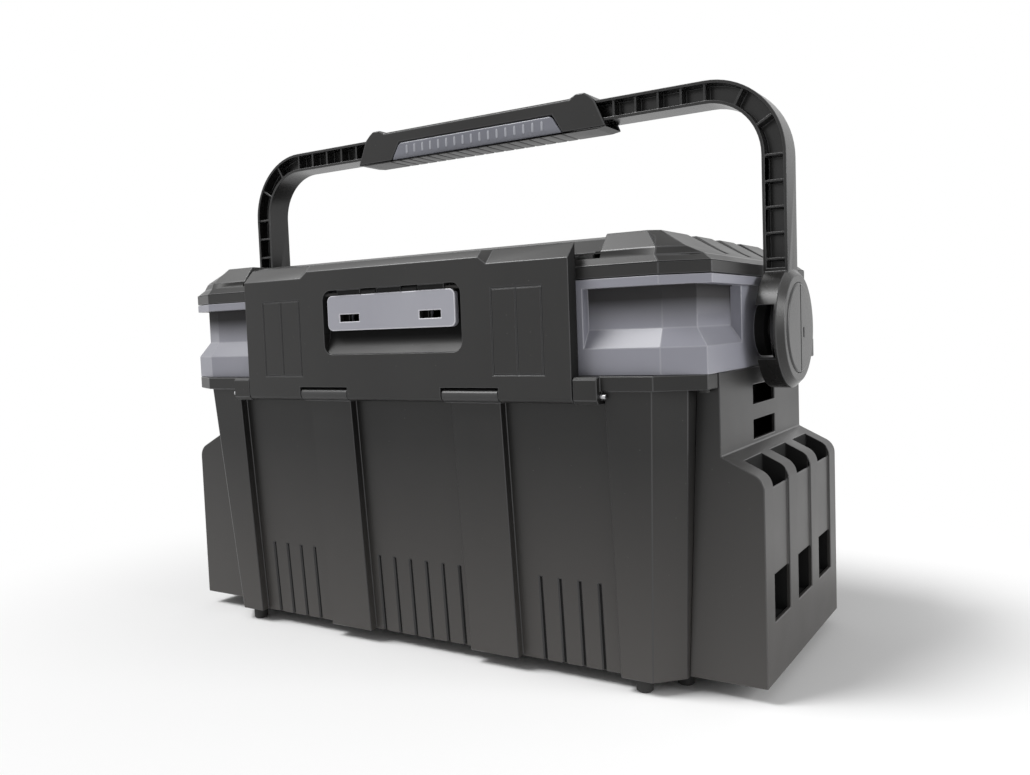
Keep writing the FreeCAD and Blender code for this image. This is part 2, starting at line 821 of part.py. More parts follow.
def build_rack_screws(side, sign):
    """The screws that hold one rack, driven from inside the tub."""
    body = new_body(f"rack_screws_{side}")
    for number, (y, z) in enumerate(rack_screw_places()):
        head_x = tub_half_length(z - tub_base_z) - s.tub_wall - s.clearance
        shank = side_spans(sign, (head_x, head_x + s.screw_length))[0]
        head = side_spans(sign, (head_x - s.screw_head_height, head_x))[0]
        prism(body, f"shank_{number}", "YZ", shank[0], shank[1],
              [((y, z), s.screw_diameter / 2)])
        prism(body, f"head_{number}", "YZ", head[0], head[1],
              [((y, z), s.screw_head_diameter / 2)])


def cut_rack_screw_holes(body):
    """Holes through the tub's ends for the racks' screws."""
    radius = s.screw_diameter / 2 + s.pin_fit
    reach = s.rack_outer_x
    for side, sign in SIDES:
        span = side_spans(sign, (s.tub_base_half_length - s.tub_wall - 5, reach))[0]
        prism(body, f"screw_holes_{side}", "YZ", span[0], span[1],
              [(place, radius) for place in rack_screw_places()], cut=True)


def belt_outline(inset):
    """The plan of the frame's belt, moved in by an inset."""
    return octagon(s.belt_end_x - inset, s.frame_half_depth - inset,
                   s.belt_end_x - s.frame_corner_x - inset * 0.82,
                   s.frame_half_depth - s.belt_corner_y - inset * 0.31)


def lid_outline(inset):
    """The plan of the frame's flange and of the lid, moved in by an inset."""
    return octagon(s.frame_end_x - inset, s.frame_half_depth - inset,
                   s.frame_end_x - s.frame_corner_x - inset * 0.77,
                   s.frame_half_depth - s.frame_corner_y - inset * 0.36)


def build_upper_frame():
    """The grey frame: a belt, a sloping ledge, a set-back wall and a flange under the lid."""
    body = new_body("upper_frame")
    belt_top_z = frame_base_z + s.belt_height
    wall_base_z = belt_top_z + s.ledge_height
    flange_base_z = frame_base_z + s.grip_top_height
    inset = s.recess_into_frame
    prism(body, "belt", "XY", frame_base_z, belt_top_z, [belt_outline(linked(0))])
    loft(body, "ledge", "XY", belt_top_z, wall_base_z, belt_outline(linked(0)),
         belt_outline(inset))
    prism(body, "wall", "XY", wall_base_z, flange_base_z, [belt_outline(inset)])
    prism(body, "flange", "XY", flange_base_z, frame_top_z, [lid_outline(linked(0))])
    panel = s.flap_half_length + s.post_width
    inner_y = s.frame_half_depth - inset - 1
    panels = [rectangle(-panel, panel, -s.frame_half_depth, -inner_y)]
    panels.append(mirrored(panels[0], "y"))
    prism(body, "panels", "XY", belt_top_z, flange_base_z, panels)
    end = rectangle(s.belt_end_x - inset - 1, s.belt_end_x, -s.grip_end_y, s.grip_end_y)
    prism(body, "ends", "XY", belt_top_z, flange_base_z, [end, mirrored(end, "x")])
    cavity = belt_outline(inset + s.frame_wall)
    prism(body, "cavity", "XY", frame_base_z, frame_top_z, [cavity], cut=True)
    core = panel - s.post_width - s.frame_wall
    shell = rectangle(-core, core, -s.frame_half_depth + s.frame_wall, -inner_y + 2 * s.frame_wall)
    shells = [shell, mirrored(shell, "y")]
    prism(body, "shells", "XY", frame_base_z + s.frame_wall, frame_top_z - s.frame_wall,
          shells, cut=True)
    keeper = s.hook_window / 2
    middle_x = (s.slot_start + s.slot_end) / 2
    slots = [rectangle(side * middle_x - keeper, side * middle_x + keeper,
                       s.hook_window_bottom_z, s.hook_window_top_z) for side in (-1, 1)]
    prism(body, "keepers", "XZ", -s.frame_half_depth - 1, -inner_y, slots, cut=True)
    for side, sign in SIDES:
        boss = side_spans(sign, (s.belt_end_x - 1, s.disc_inner_x - s.clearance))[0]
        prism(body, f"pivot_boss_{side}", "YZ", boss[0], boss[1],
              [((linked(0), s.pivot_z), s.pivot_boss_radius)])
    pin_inner_x = s.belt_end_x - inset - s.frame_wall - 1
    for side, sign in SIDES:
        bore = side_spans(sign, (pin_inner_x, s.disc_inner_x))[0]
        prism(body, f"pivot_bore_{side}", "YZ", bore[0], bore[1],
              [((linked(0), s.pivot_z), s.pivot_pin_diameter / 2)], cut=True)
    holes = [((x, y), s.screw_diameter / 2 + s.pin_fit) for x, y in frame_screw_places()]
    prism(body, "screw_bores", "XY", frame_base_z, frame_base_z + s.screw_length, holes,
          cut=True)
    add_rear_frame_knuckles(body)


def frame_screw_places():
    """Middles of the four screws under the rim's corners."""
    return [(x * s.frame_screw_x, y * s.frame_screw_y) for x in (-1, 1) for y in (-1, 1)]


def cut_frame_screw_holes(body):
    """Holes up through the rim's corners."""
    prism(body, "rim_holes", "XY", rim_base_z - 1, frame_base_z,
          [((x, y), s.screw_diameter / 2 + s.pin_fit) for x, y in frame_screw_places()],
          cut=True)


def build_frame_screws():
    """Four screws from under the rim up into the frame."""
    body = new_body("frame_screws")
    places = frame_screw_places()
    prism(body, "shanks", "XY", rim_base_z, frame_base_z + s.screw_length - 1,
          [(place, s.screw_diameter / 2) for place in places])
    prism(body, "heads", "XY", rim_base_z - s.screw_head_height, rim_base_z,
          [(place, s.screw_head_diameter / 2) for place in places])


def rear_knuckle_spans(first, count):
    """Spans of rear knuckles, counted in pitches from the middle."""
    half = s.rear_knuckle_pitch / 2 - s.clearance
    spans = []
    for number in range(count):
        middle = s.rear_knuckle_pitch * (first + 2 * number)
        spans.append((middle - half, middle + half))
    return spans


def add_rear_frame_knuckles(body):
    """Barrels on the frame's back that carry the lid's pin."""
    center = (s.rear_axis_y, s.rear_axis_z)
    back = s.frame_half_depth
    outer = s.rear_axis_y + s.rear_knuckle_radius
    web = [(back - 1, frame_top_z - 3 * s.frame_wall), (outer, s.rear_axis_z - s.frame_wall),
           (outer, s.rear_axis_z), (back + s.lid_gap, s.rear_axis_z),
           (back + s.lid_gap, frame_top_z), (back - 1, frame_top_z)]
    for number, (low, high) in enumerate(rear_knuckle_spans(-3, 4)):
        prism(body, f"knuckle_web_{number}", "YZ", low, high, [web])
        prism(body, f"knuckle_{number}", "YZ", low, high, [(center, s.rear_knuckle_radius)])
    reach = 4 * s.rear_knuckle_pitch
    prism(body, "pin_bore", "YZ", -reach, reach, [(center, s.rear_pin_diameter / 2)], cut=True)


def seat_outline(inset):
    """The plan at the foot of the lid's deck."""
    return octagon(s.seat_end_x - inset, s.seat_front_y - inset,
                   s.seat_end_x - s.block_corner_x - inset / 2,
                   s.seat_front_y - s.seat_corner_y - inset / 2)


def deck_outline(inset):
    """The plan at the top of the lid's deck."""
    return octagon(s.deck_end_x - inset, s.deck_front_y - inset,
                   s.deck_end_x - s.block_corner_x - inset / 2,
                   s.deck_front_y - s.deck_corner_y - inset / 2)


def build_lid():
    """The lid: a skirt, two sloping tiers, four raised bars and barrels at the back."""
    body = new_body("lid")
    deck_z = seat_base_z + s.deck_height
    prism(body, "skirt", "XY", lid_base_z, skirt_top_z, [lid_outline(linked(0))])
    loft(body, "shoulder", "XY", skirt_top_z, seat_base_z, lid_outline(s.lid_gap),
         seat_outline(linked(0)))
    loft(body, "deck", "XY", seat_base_z, deck_z, seat_outline(linked(0)),
         deck_outline(linked(0)))
    for name, base, top in bar_outlines(linked(0)):
        loft(body, name, "XY", deck_z, lid_top_z, base, top)
    set_back = [(-s.deck_front_y, deck_z), (-s.set_back_low_y, deck_z),
                (-s.set_back_mid_y, s.set_back_mid_z), (-s.set_back_high_y, lid_top_z + 1),
                (-s.deck_front_y, lid_top_z + 1)]
    prism(body, "set_back", "YZ", -s.set_back_half, s.set_back_half, [set_back], cut=True)
    cut_lid_notches(body, deck_z)
    wall = s.lid_wall
    inner_z = seat_base_z - wall
    prism(body, "skirt_hollow", "XY", lid_base_z, skirt_top_z, [lid_outline(wall)], cut=True)
    prism(body, "seat_hollow", "XY", lid_base_z, inner_z, [seat_outline(wall)], cut=True)
    loft(body, "deck_hollow", "XY", inner_z, deck_z - wall, seat_outline(wall),
         deck_outline(2 * wall), cut=True)
    for name, base, top in bar_outlines(wall):
        loft(body, f"{name}_hollow", "XY", deck_z - wall, lid_top_z - 2 * wall, base, top,
             cut=True)
    half = s.lid_rib / 2
    rib_y = s.frame_half_depth - wall + 1
    base_z = lid_base_z + wall
    for number in range(-2, 3):
        middle = number * s.rear_knuckle_pitch * 2
        prism(body, f"rib_{number + 2}", "XY", base_z, deck_z - wall,
              [rectangle(middle - half, middle + half, -rib_y + s.lid_wall,
                         rib_y - s.lid_wall)])
    for number in (-1, 1):
        middle = number * s.bar_pitch
        rib_x = s.seat_end_x - wall
        prism(body, f"long_rib_{number + 1}", "XY", base_z, inner_z,
              [rectangle(-rib_x, rib_x, middle - half, middle + half)])
    center = (s.rear_axis_y, s.rear_axis_z)
    web = rectangle(s.frame_half_depth - 1, s.rear_axis_y, lid_base_z,
                    s.rear_axis_z + s.rear_knuckle_radius)
    for number, (low, high) in enumerate(rear_knuckle_spans(-2, 3)):
        prism(body, f"knuckle_web_{number}", "YZ", low, high, [web])
        prism(body, f"knuckle_{number}", "YZ", low, high, [(center, s.rear_knuckle_radius)])
    reach = 4 * s.rear_knuckle_pitch
    prism(body, "pin_bore", "YZ", -reach, reach,
          [(center, s.rear_pin_diameter / 2 + s.pin_fit)], cut=True)


def bar_outlines(wall):
    """The raised bars from front to back: name, outline at the deck and at the crest."""
    half = s.bar_width / 2 - wall
    top_half = half - s.bar_side_slope
    middle = s.bar_pitch / 2
    end_x, top_x = s.deck_end_x - wall, s.bar_top_x - wall
    front = block_outline(end_x, s.deck_front_y - wall, s.front_bar_back_y + wall,
                          s.block_corner_x - wall / 2, s.deck_corner_y - wall / 2)
    crest = block_outline(top_x, s.front_bar_top_y - wall,
                          s.front_bar_back_y + s.bar_side_slope + wall,
                          top_x - s.front_bar_facet, s.front_bar_top_y - s.front_bar_facet - wall)
    bars = [("front_bar", front, crest)]
    for name, side in (("second_bar", -1), ("third_bar", 1)):
        bars.append((name, rectangle(-end_x, end_x, side * middle - half, side * middle + half),
                     rectangle(-top_x, top_x, side * middle - top_half,
                               side * middle + top_half)))
    bars.append(("rear_bar", mirrored(front, "y"), mirrored(crest, "y")))
    return bars


def block_outline(end_x, front_y, back_y, facet_x, facet_y):
    """The front bar's plan: a long rectangle with its two outer corners cut off."""
    return [(-end_x, -back_y), (-end_x, -facet_y), (-facet_x, -front_y),
            (facet_x, -front_y), (end_x, -facet_y), (end_x, -back_y)]


def cut_lid_notches(body, deck_z):
    """Small notches in the deck's front edge and at the feet of the bars' ends."""
    low, high = s.edge_notch_x, s.edge_notch_x + s.edge_notch_width
    bottom = deck_z - s.edge_notch_depth
    edge = [rectangle(low, high, -s.seat_front_y - 1, -s.deck_front_y + 2)]
    edge.append(mirrored(edge[0], "x"))
    prism(body, "edge_notches", "XY", bottom, deck_z + 2, edge, cut=True)
    half = s.bar_pitch / 2 - s.bar_width / 2
    ends = []
    for middle in (-s.bar_pitch, linked(0), s.bar_pitch):
        ends.append(rectangle(s.deck_end_x - s.end_notch_depth, s.seat_end_x,
                              middle - half, middle + half))
    for side, sign in SIDES:
        outlines = [sided(end, sign) for end in ends]
        prism(body, f"end_notches_{side}", "XY", deck_z - s.end_notch_depth, deck_z + 1,
              outlines, cut=True)


def build_front_flap():
    """The flap: barrels below, two bevels above, a recess with a scoop and line panels."""
    body = new_body("front_flap")
    half, front, back = s.flap_half_length, -s.flap_front_y, -flap_back_y
    center = (-hinge_axis_y, s.hinge_axis_z)
    prism(body, "plate", "YZ", -half, half,
          [rectangle(front, back, s.hinge_axis_z, s.flap_top_z)])
    prism(body, "barrel", "YZ", -half, half, [(center, s.knuckle_radius)])
    small = bevel_outline(s.flap_middle_bevel, 1)
    large = bevel_outline(s.flap_end_bevel, 1)
    prism(body, "bevel", "YZ", -half - 1, half + 1, [small], cut=True)
    run_end = s.flap_middle_half + s.flap_bevel_run
    for side, sign in SIDES:
        low, high = side_spans(sign, (run_end, half + 1))[0]
        prism(body, f"end_bevel_{side}", "YZ", low, high, [large], cut=True)
        low, high = side_spans(sign, (s.flap_middle_half, run_end))[0]
        ends = [bevel_outline(s.flap_middle_bevel, 0), bevel_outline(s.flap_end_bevel, 0)]
        loft(body, f"facet_{side}", "YZ", low, high, ends[sign < 0], ends[sign > 0], cut=True)
    windows = []
    for side, sign in SIDES:
        low, high = side_spans(sign, (s.front_knuckle_start - 2 * s.clearance,
                                      s.front_knuckle_end + 2 * s.clearance))[0]
        windows.append(rectangle(low, high, s.hinge_axis_z - 2 * s.knuckle_radius,
                                 s.window_top_z))
    prism(body, "hinge_windows", "XZ", front - 1, back + 1, windows, cut=True)
    recess = rectangle(-s.recess_half_length, s.recess_half_length,
                       s.recess_bottom_z, s.recess_top_z)
    prism(body, "recess", "XZ", front - 1, front + s.recess_depth, [recess], cut=True)
    fillet_where(body, "recess_corners", s.recess_corner, lambda edge: along(edge, "y") and
                 abs(abs(edge.CenterOfMass.x) - float(s.recess_half_length)) < 0.05)
    floor_y = front + s.recess_depth
    scoop = [(floor_y + 1, s.recess_bottom_z + s.scoop_height),
             (floor_y, s.recess_bottom_z + s.scoop_height),
             (front + s.recess_depth * 0.55, s.recess_bottom_z + s.scoop_height * 0.3),
             (front + s.recess_depth * 0.2, s.recess_bottom_z - 1),
             (floor_y + 1, s.recess_bottom_z - 1)]
    prism(body, "scoop", "YZ", -s.recess_half_length, s.recess_half_length, [scoop])
    for side, sign in SIDES:
        cut_line_panel(body, side, sign, front)
        low, high = side_spans(sign, (s.recess_half_length + s.flap_shell,
                                      half - s.flap_shell))[0]
        pocket = rectangle(low, high, s.panel_bottom_z, s.flap_top_z - 4 * s.flap_shell)
        prism(body, f"back_pocket_{side}", "XZ", front + s.flap_shell + 1, back + 1,
              [pocket], cut=True)
    add_latch_lugs(body)
    reach = half + 1
    prism(body, "pin_bore", "YZ", -reach, reach,
          [(center, s.hinge_pin_diameter / 2 + s.pin_fit)], cut=True)
    keeper = s.hook_window / 2
    middle_x = (s.slot_start + s.slot_end) / 2
    slots = [rectangle(side * middle_x - keeper, side * middle_x + keeper,
                       s.hook_window_bottom_z, s.hook_window_top_z) for side in (-1, 1)]
    prism(body, "hook_windows", "XZ", floor_y - 1, back + 1, slots, cut=True)


def bevel_outline(size, spare):
    """The triangle that a 45 degree bevel takes off the flap's top front edge."""
    front = -s.flap_front_y
    return [(front - spare, s.flap_top_z - size - spare),
            (front + size + spare, s.flap_top_z + spare), (front - spare, s.flap_top_z + spare)]


def cut_line_panel(body, side, sign, front):
    """A framed panel drawn with sunk lines."""
    line = s.panel_line
    low, high = side_spans(sign, (s.panel_start, s.panel_end))[0]
    middle = (low + high) / 2
    outer = rectangle(low, high, s.panel_bottom_z, s.panel_top_z)
    left = rectangle(low + line, middle - line / 2, s.panel_bottom_z + line, s.panel_top_z - line)
    right = rectangle(middle + line / 2, high - line, s.panel_bottom_z + line,
                      s.panel_top_z - line)
    prism(body, f"panel_{side}", "XZ", front - 1, front + s.panel_line_depth,
          [outer, left, right], cut=True)


def latch_center():
    """The latch pin's axis in Y and Z."""
    return (-s.flap_front_y + s.latch_axis_depth, s.paddle_top_z + s.latch_axis_rise)


def lug_spans():
    """The three lugs above the paddle."""
    half = s.lug_width / 2
    return [(place * s.lug_pitch - half, place * s.lug_pitch + half) for place in (-1, 0, 1)]


def add_latch_lugs(body):
    """Three lugs in the top of the recess carry the latch pin."""
    y, z = latch_center()
    radius = s.latch_knuckle_radius
    floor_y = -s.flap_front_y + s.recess_depth
    for number, (low, high) in enumerate(lug_spans()):
        web = rectangle(y - radius, floor_y + 1, z, s.recess_top_z + 1)
        prism(body, f"lug_web_{number}", "YZ", low, high, [web])
        prism(body, f"lug_{number}", "YZ", low, high, [((y, z), radius)])
    reach = s.recess_half_length + s.latch_pin_seat
    prism(body, "latch_bore", "YZ", -reach, reach,
          [((y, z), s.latch_pin_diameter / 2 + s.pin_fit / 2)], cut=True)


def build_latch_paddle():
    """The paddle: a rounded plate with two slots, barrels behind its top and two tongues."""
    body = new_body("latch_paddle")
    front = -s.flap_front_y
    back = front + s.paddle_thickness
    plate = rectangle(-s.paddle_half_length, s.paddle_half_length,
                      s.paddle_bottom_z, s.paddle_top_z)
    prism(body, "plate", "XZ", front, back, [plate])
    fillet_where(body, "corners", s.paddle_corner, lambda edge: along(edge, "y"))
    y, z = latch_center()
    radius = s.latch_knuckle_radius
    room = 2 * s.clearance
    lugs = [rectangle(low - room, high + room, z - radius - room, s.paddle_top_z + 1)
            for low, high in lug_spans()]
    prism(body, "lug_room", "XZ", y - radius - room, back + 1, lugs, cut=True)
    slots = [rectangle(low, high, s.slot_bottom_z, s.slot_bottom_z + s.slot_height)
             for low, high in (side_spans(sign, (s.slot_start, s.slot_end))[0]
                               for _, sign in SIDES)]
    prism(body, "slots", "XZ", front - 1, back + 1, slots, cut=True)
    ends = [(high + room, low - room) for (_, high), (low, _)
            in zip(lug_spans()[:-1], lug_spans()[1:])]
    for number, (low, high) in enumerate(ends):
        web = rectangle(y - radius, y, z - radius - 1, z)
        prism(body, f"barrel_web_{number}", "YZ", low, high, [web])
        prism(body, f"barrel_{number}", "YZ", low, high, [((y, z), radius)])
    reach = s.recess_half_length
    prism(body, "pin_bore", "YZ", -reach, reach,
          [((y, z), s.latch_pin_diameter / 2 + s.pin_fit)], cut=True)
    middle_x = (s.slot_start + s.slot_end) / 2
    tongues = []
    for side in (-1, 1):
        half = s.hook_window / 2 - s.hook_room
        tongues.append(rectangle(side * middle_x - half, side * middle_x + half,
                                 s.hook_bottom_z, s.hook_bottom_z + s.hook_height))
    prism(body, "tongues", "XZ", back - 1, -s.frame_half_depth + s.frame_wall, tongues)


def build_pins():
    """The long hinge pins, the latch pin and the two handle pivots."""
    body = new_body("front_hinge_pin")
    reach = s.bracket_end + s.pin_stand_out
    prism(body, "pin", "YZ", -reach, reach,
          [((-hinge_axis_y, s.hinge_axis_z), s.hinge_pin_diameter / 2)])
    body = new_body("rear_hinge_pin")
    reach = 3.5 * s.rear_knuckle_pitch + s.pin_stand_out
    prism(body, "pin", "YZ", -reach, reach,
          [((s.rear_axis_y, s.rear_axis_z), s.rear_pin_diameter / 2)])
    body = new_body("latch_pin")
    reach = s.recess_half_length + s.latch_pin_seat - s.clearance
    prism(body, "pin", "YZ", -reach, reach, [(latch_center(), s.latch_pin_diameter / 2)])
    for side, sign in SIDES:
        body = new_body(f"pivot_pin_{side}")
        center = (linked(0), s.pivot_z)
        inner_x = s.belt_end_x - s.recess_into_frame - s.frame_wall
        head_x = s.disc_inner_x + s.hub_length + s.clearance
        shank = side_spans(sign, (inner_x, head_x))[0]
        head = side_spans(sign, (head_x, head_x + s.pivot_head_height))[0]
        prism(body, "shank", "YZ", shank[0], shank[1], [(center, s.pivot_pin_diameter / 2)])
        prism(body, "head", "YZ", head[0], head[1], [(center, s.pivot_head_radius)])


def build_bail():
    """The handle: a ribbed bail between two hollow discs."""
    body = new_body("handle_bail")
    front, back = -s.bail_front_y, -s.bail_front_y + s.bail_depth
    prism(body, "bow", "XZ", front, back, [bow_outline(linked(0), s.pivot_z + s.cap_radius)])
    channel = bow_outline(s.flange_thickness, s.pivot_z + s.disc_radius)
    web_front = (front + back - s.web_thickness) / 2
    web_back = (front + back + s.web_thickness) / 2
    prism(body, "channel_front", "XZ", front - 1, web_front, [channel], cut=True)
    prism(body, "channel_back", "XZ", web_back, back + 1, [channel], cut=True)
    for side, sign in SIDES:
        add_bail_ribs(body, side, sign, front + s.rib_set_back, back - s.rib_set_back)
        add_disc(body, side, sign)


def bow_outline(inset, foot_z):
    """The bail's outline, with both corners round, moved in by an inset."""
    corner_x = s.bail_outer_x - s.bail_corner_radius
    corner_z = s.bail_top_z - s.bail_corner_radius
    outer, inner = s.bail_outer_x - inset, s.bail_inner_x + inset
    top, under = s.bail_top_z - inset, s.bail_top_z - s.bar_thickness + inset
    outer_radius = s.bail_corner_radius - inset
    inner_radius = s.bail_corner_radius - s.bail_outer_x + s.bail_inner_x + inset
    bend_z = under - inner_radius
    left, right = (-corner_x, corner_z), (corner_x, corner_z)
    inner_left = (inner_radius - inner, bend_z)
    inner_right = (inner - inner_radius, bend_z)
    return [(-outer, foot_z), (-inner, foot_z),
            (-inner, bend_z, inner_radius, inner_left), (inner_radius - inner, under),
            (inner - inner_radius, under, inner_radius, inner_right), (inner, bend_z),
            (inner, foot_z), (outer, foot_z), (outer, corner_z, outer_radius, right),
            (corner_x, top), (-corner_x, top, outer_radius, left), (-outer, corner_z)]


def add_bail_ribs(body, side, sign, front, back):
    """Cross ribs at an even pitch on the leg, round the corner and along the bar."""
    half = s.rib_thickness / 2
    corner_z = s.bail_top_z - s.bail_corner_radius
    corner_x = s.bail_outer_x - s.bail_corner_radius
    legs, bars = [], []
    for number in range(5):
        middle = corner_z - s.rib_pitch * number
        legs.append(sided(rectangle(s.bail_inner_x + 1, s.bail_outer_x - 1,
                                    middle - half, middle + half), sign))
        middle = corner_x - s.rib_pitch * number
        bars.append(sided(rectangle(middle - half, middle + half,
                                    s.bail_top_z - s.bar_thickness + 1, s.bail_top_z - 1), sign))
    prism(body, f"leg_ribs_{side}", "XZ", front, back, legs)
    prism(body, f"bar_ribs_{side}", "XZ", front, back, bars)
    inner_radius = s.bail_corner_radius - s.bar_thickness + 1
    outer_radius = s.bail_corner_radius - 1
    spokes = []
    for turn in (30, 60):
        across, up = math.cos(math.radians(turn)), math.sin(math.radians(turn))
        corners = []
        for reach, offset in ((inner_radius, -half), (outer_radius, -half),
                              (outer_radius, half), (inner_radius, half)):
            corners.append((corner_x + reach * across - offset * up,
                            corner_z + reach * up + offset * across))
        spokes.append(sided(corners, sign))
    prism(body, f"corner_ribs_{side}", "XZ", front, back, spokes)


def add_disc(body, side, sign):
    """The round end of one leg: a hollow disc with a hub, a seat for the cap and a notch."""
    center = (linked(0), s.pivot_z)
    outer_x = s.disc_inner_x + s.disc_thickness

    def ring(text, low, high, circles, cut=False):
        span = side_spans(sign, (low, high))[0]
        prism(body, f"{text}_{side}", "YZ", span[0], span[1],
              [(center, radius) for radius in circles], cut=cut)

    ring("disc", s.disc_inner_x, outer_x - s.disc_chamfer, [s.disc_radius])
    loft_disc_edge(body, side, sign, outer_x)
    ring("disc_back", s.bail_inner_x - 1, s.disc_inner_x + s.hub_length - s.web_thickness,
         [s.disc_radius - s.disc_wall], cut=True)
    ring("skirt_back", s.bail_inner_x - 1, outer_x - s.disc_chamfer,
         [s.disc_radius - s.disc_wall, s.cap_radius + 1], cut=True)
    ring("hub", s.disc_inner_x, s.disc_inner_x + s.hub_length, [s.hub_radius])
    ring("cap_room", s.disc_inner_x + s.hub_length, outer_x + 1, [s.cap_radius - 2], cut=True)
    ring("cap_seat", outer_x - s.cap_thickness, outer_x + 1, [s.cap_radius], cut=True)
    ring("hub_bore", s.bail_inner_x - 1, outer_x, [s.pivot_pin_diameter / 2 + s.pin_fit],
         cut=True)
    notch = side_spans(sign, (s.bail_inner_x - 1, s.disc_inner_x + s.disc_notch_width))[0]
    prism(body, f"notch_{side}", "YZ", notch[0], notch[1],
          [rectangle(-s.disc_radius - 1, -s.disc_radius + s.disc_notch_depth,
                     s.disc_notch_bottom_z, s.disc_notch_top_z)], cut=True)


def loft_disc_edge(body, side, sign, outer_x):
    """The bevelled outer face of one disc."""
    center = (linked(0), s.pivot_z)
    start = outer_x - s.disc_chamfer
    sketches = []
    for name, place, radius in (("edge_low", start, s.disc_radius),
                                ("edge_high", outer_x, s.disc_radius - s.disc_chamfer)):
        sketch = new_sketch(body, tidy_name(body, f"{name}_{side}"), "YZ", sign * place)
        draw_circle(sketch, center, radius)
        sketches.append(sketch)
    feature = body.newObject("PartDesign::AdditiveLoft", tidy_name(body, f"disc_edge_{side}"))
    feature.Profile = sketches[0]
    feature.Sections = [sketches[1]]
    feature.Ruled = True


def build_pivot_cap(side, sign):
    """The round cap over one pivot, with a seam and a small slot."""
    body = new_body(f"pivot_cap_{side}")
    center = (linked(0), s.pivot_z)
    outer_x = s.disc_inner_x + s.disc_thickness
    inner_x = outer_x - s.cap_thickness
    low, high = side_spans(sign, (inner_x, outer_x + s.cap_crown))[0]
    prism(body, "plate", "YZ", low, high, [(center, s.cap_radius - s.pin_fit)])
    chamfer_where(body, "edge", s.cap_crown, lambda edge:
                  abs(abs(edge.CenterOfMass.x) - float(outer_x + s.cap_crown)) < 0.05)
    low, high = side_spans(sign, (outer_x + s.cap_crown / 2, outer_x + 2 * s.cap_crown))[0]
    half = s.cap_seam / 2
    prism(body, "seam", "YZ", low, high,
          [rectangle(-half, half, s.pivot_z - s.cap_radius, s.pivot_z + s.cap_radius)], cut=True)
    low, high = side_spans(sign, (inner_x - 1, outer_x + 2 * s.cap_crown))[0]
    prism(body, "slot", "YZ", low, high,
          [rectangle(s.cap_slot_y, s.cap_slot_y + s.cap_slot_width,
                     s.pivot_z - s.cap_slot_height, s.pivot_z)], cut=True)


def build_grip():
    """The grip: a cover over the bar, an insert on each face, a shell below and its screws."""
    body = new_body("grip_cover")
    front = -s.bail_front_y - s.grip_cover
    back = -s.bail_front_y + s.bail_depth + s.grip_cover
    bump = s.grip_bump_half
    right = [(s.grip_bottom_half, s.grip_joint_z), (s.grip_top_half, s.bail_top_z),
             (s.grip_bump_x + bump, s.grip_top_z), (s.grip_bump_x + bump / 2, s.grip_bump_z),
             (s.grip_bump_x - bump / 2, s.grip_bump_z), (s.grip_bump_x - bump, s.grip_top_z)]
    prism(body, "cover", "XZ", front, back, [right + mirrored(right, "x")])
    fit = s.pin_fit
    reach = s.grip_bottom_half + 1
    prism(body, "channel", "YZ", -reach, reach,
          [rectangle(front + s.grip_cover - fit, back - s.grip_cover + fit,
                     s.grip_joint_z - 1, s.bail_top_z + fit)], cut=True)
    window = insert_outline(linked(0))
    prism(body, "insert_windows", "XZ", front - 1, back + 1, [window], cut=True)
    chamfer_where(body, "edges", s.grip_cover / 2, lambda edge: along(edge, "x") and
                  at(edge, x=0, z=s.grip_top_z))
    for name, outer_y, inner_y in (("front", front, front + s.grip_cover),
                                   ("back", back, back - s.grip_cover)):
        build_grip_insert(name, outer_y, inner_y)
    body = new_body("grip_under")
    under = [(-s.grip_bottom_half, s.grip_joint_z - fit), (-s.grip_bottom_half + 8, s.grip_under_z),
             (s.grip_bottom_half - 8, s.grip_under_z), (s.grip_bottom_half, s.grip_joint_z - fit)]
    prism(body, "shell", "XZ", front, back, [under])
    plug_z = s.bail_top_z - s.bar_thickness
    prism(body, "plug", "XY", s.grip_joint_z - 1, plug_z - fit,
          [rectangle(-s.grip_bottom_half + 8, s.grip_bottom_half - 8,
                     front + s.grip_cover, back - s.grip_cover)])
    half = s.insert_bottom_half
    pitch = 2 * half / s.insert_ribs
    notches = []
    for number in range(round(float(s.insert_ribs)) + 1):
        middle = -half + pitch * number
        notches.append([(middle - 2, s.grip_under_z - 1), (middle + 2, s.grip_under_z - 1),
                        (middle, s.grip_under_z + s.scallop_depth)])
    for number in range(3):
        prism(body, f"scallops_{number}", "XZ", front - 1, back + 1, notches[number::3],
              cut=True)


def insert_outline(gap):
    """The side insert's outline, a trapezoid narrower at its top, moved in by a gap."""
    bottom, top = s.insert_bottom_half - 2 * gap, s.insert_top_half - 2 * gap
    return [(-bottom, s.grip_joint_z), (bottom, s.grip_joint_z),
            (top, s.insert_top_z - gap), (-top, s.insert_top_z - gap)]


def build_grip_insert(name, outer_y, inner_y):
    """One ribbed insert in the grip's face."""
    body = new_body(f"grip_insert_{name}")
    low, high = (outer_y, inner_y) if float(outer_y) < float(inner_y) else (inner_y, outer_y)
    gap = s.pin_fit
    prism(body, "plate", "XZ", low, high, [insert_outline(gap)])
    pitch = 2 * s.insert_top_half / (s.insert_ribs + 1)
    rib_base_z = s.grip_joint_z + 4
    rib_top_z = s.insert_top_z - 4
    rise = s.insert_rib_height
    rib_low, rib_high = (low - rise, low) if name == "front" else (high, high + rise)
    ribs = []
    for number in range(round(float(s.insert_ribs))):
        middle = -s.insert_top_half + pitch * (number + 1)
        ribs.append(rectangle(middle - rise, middle + rise, rib_base_z, rib_top_z))
    for number in range(3):
        prism(body, f"ribs_{number}", "XZ", rib_low, rib_high, ribs[number::3])


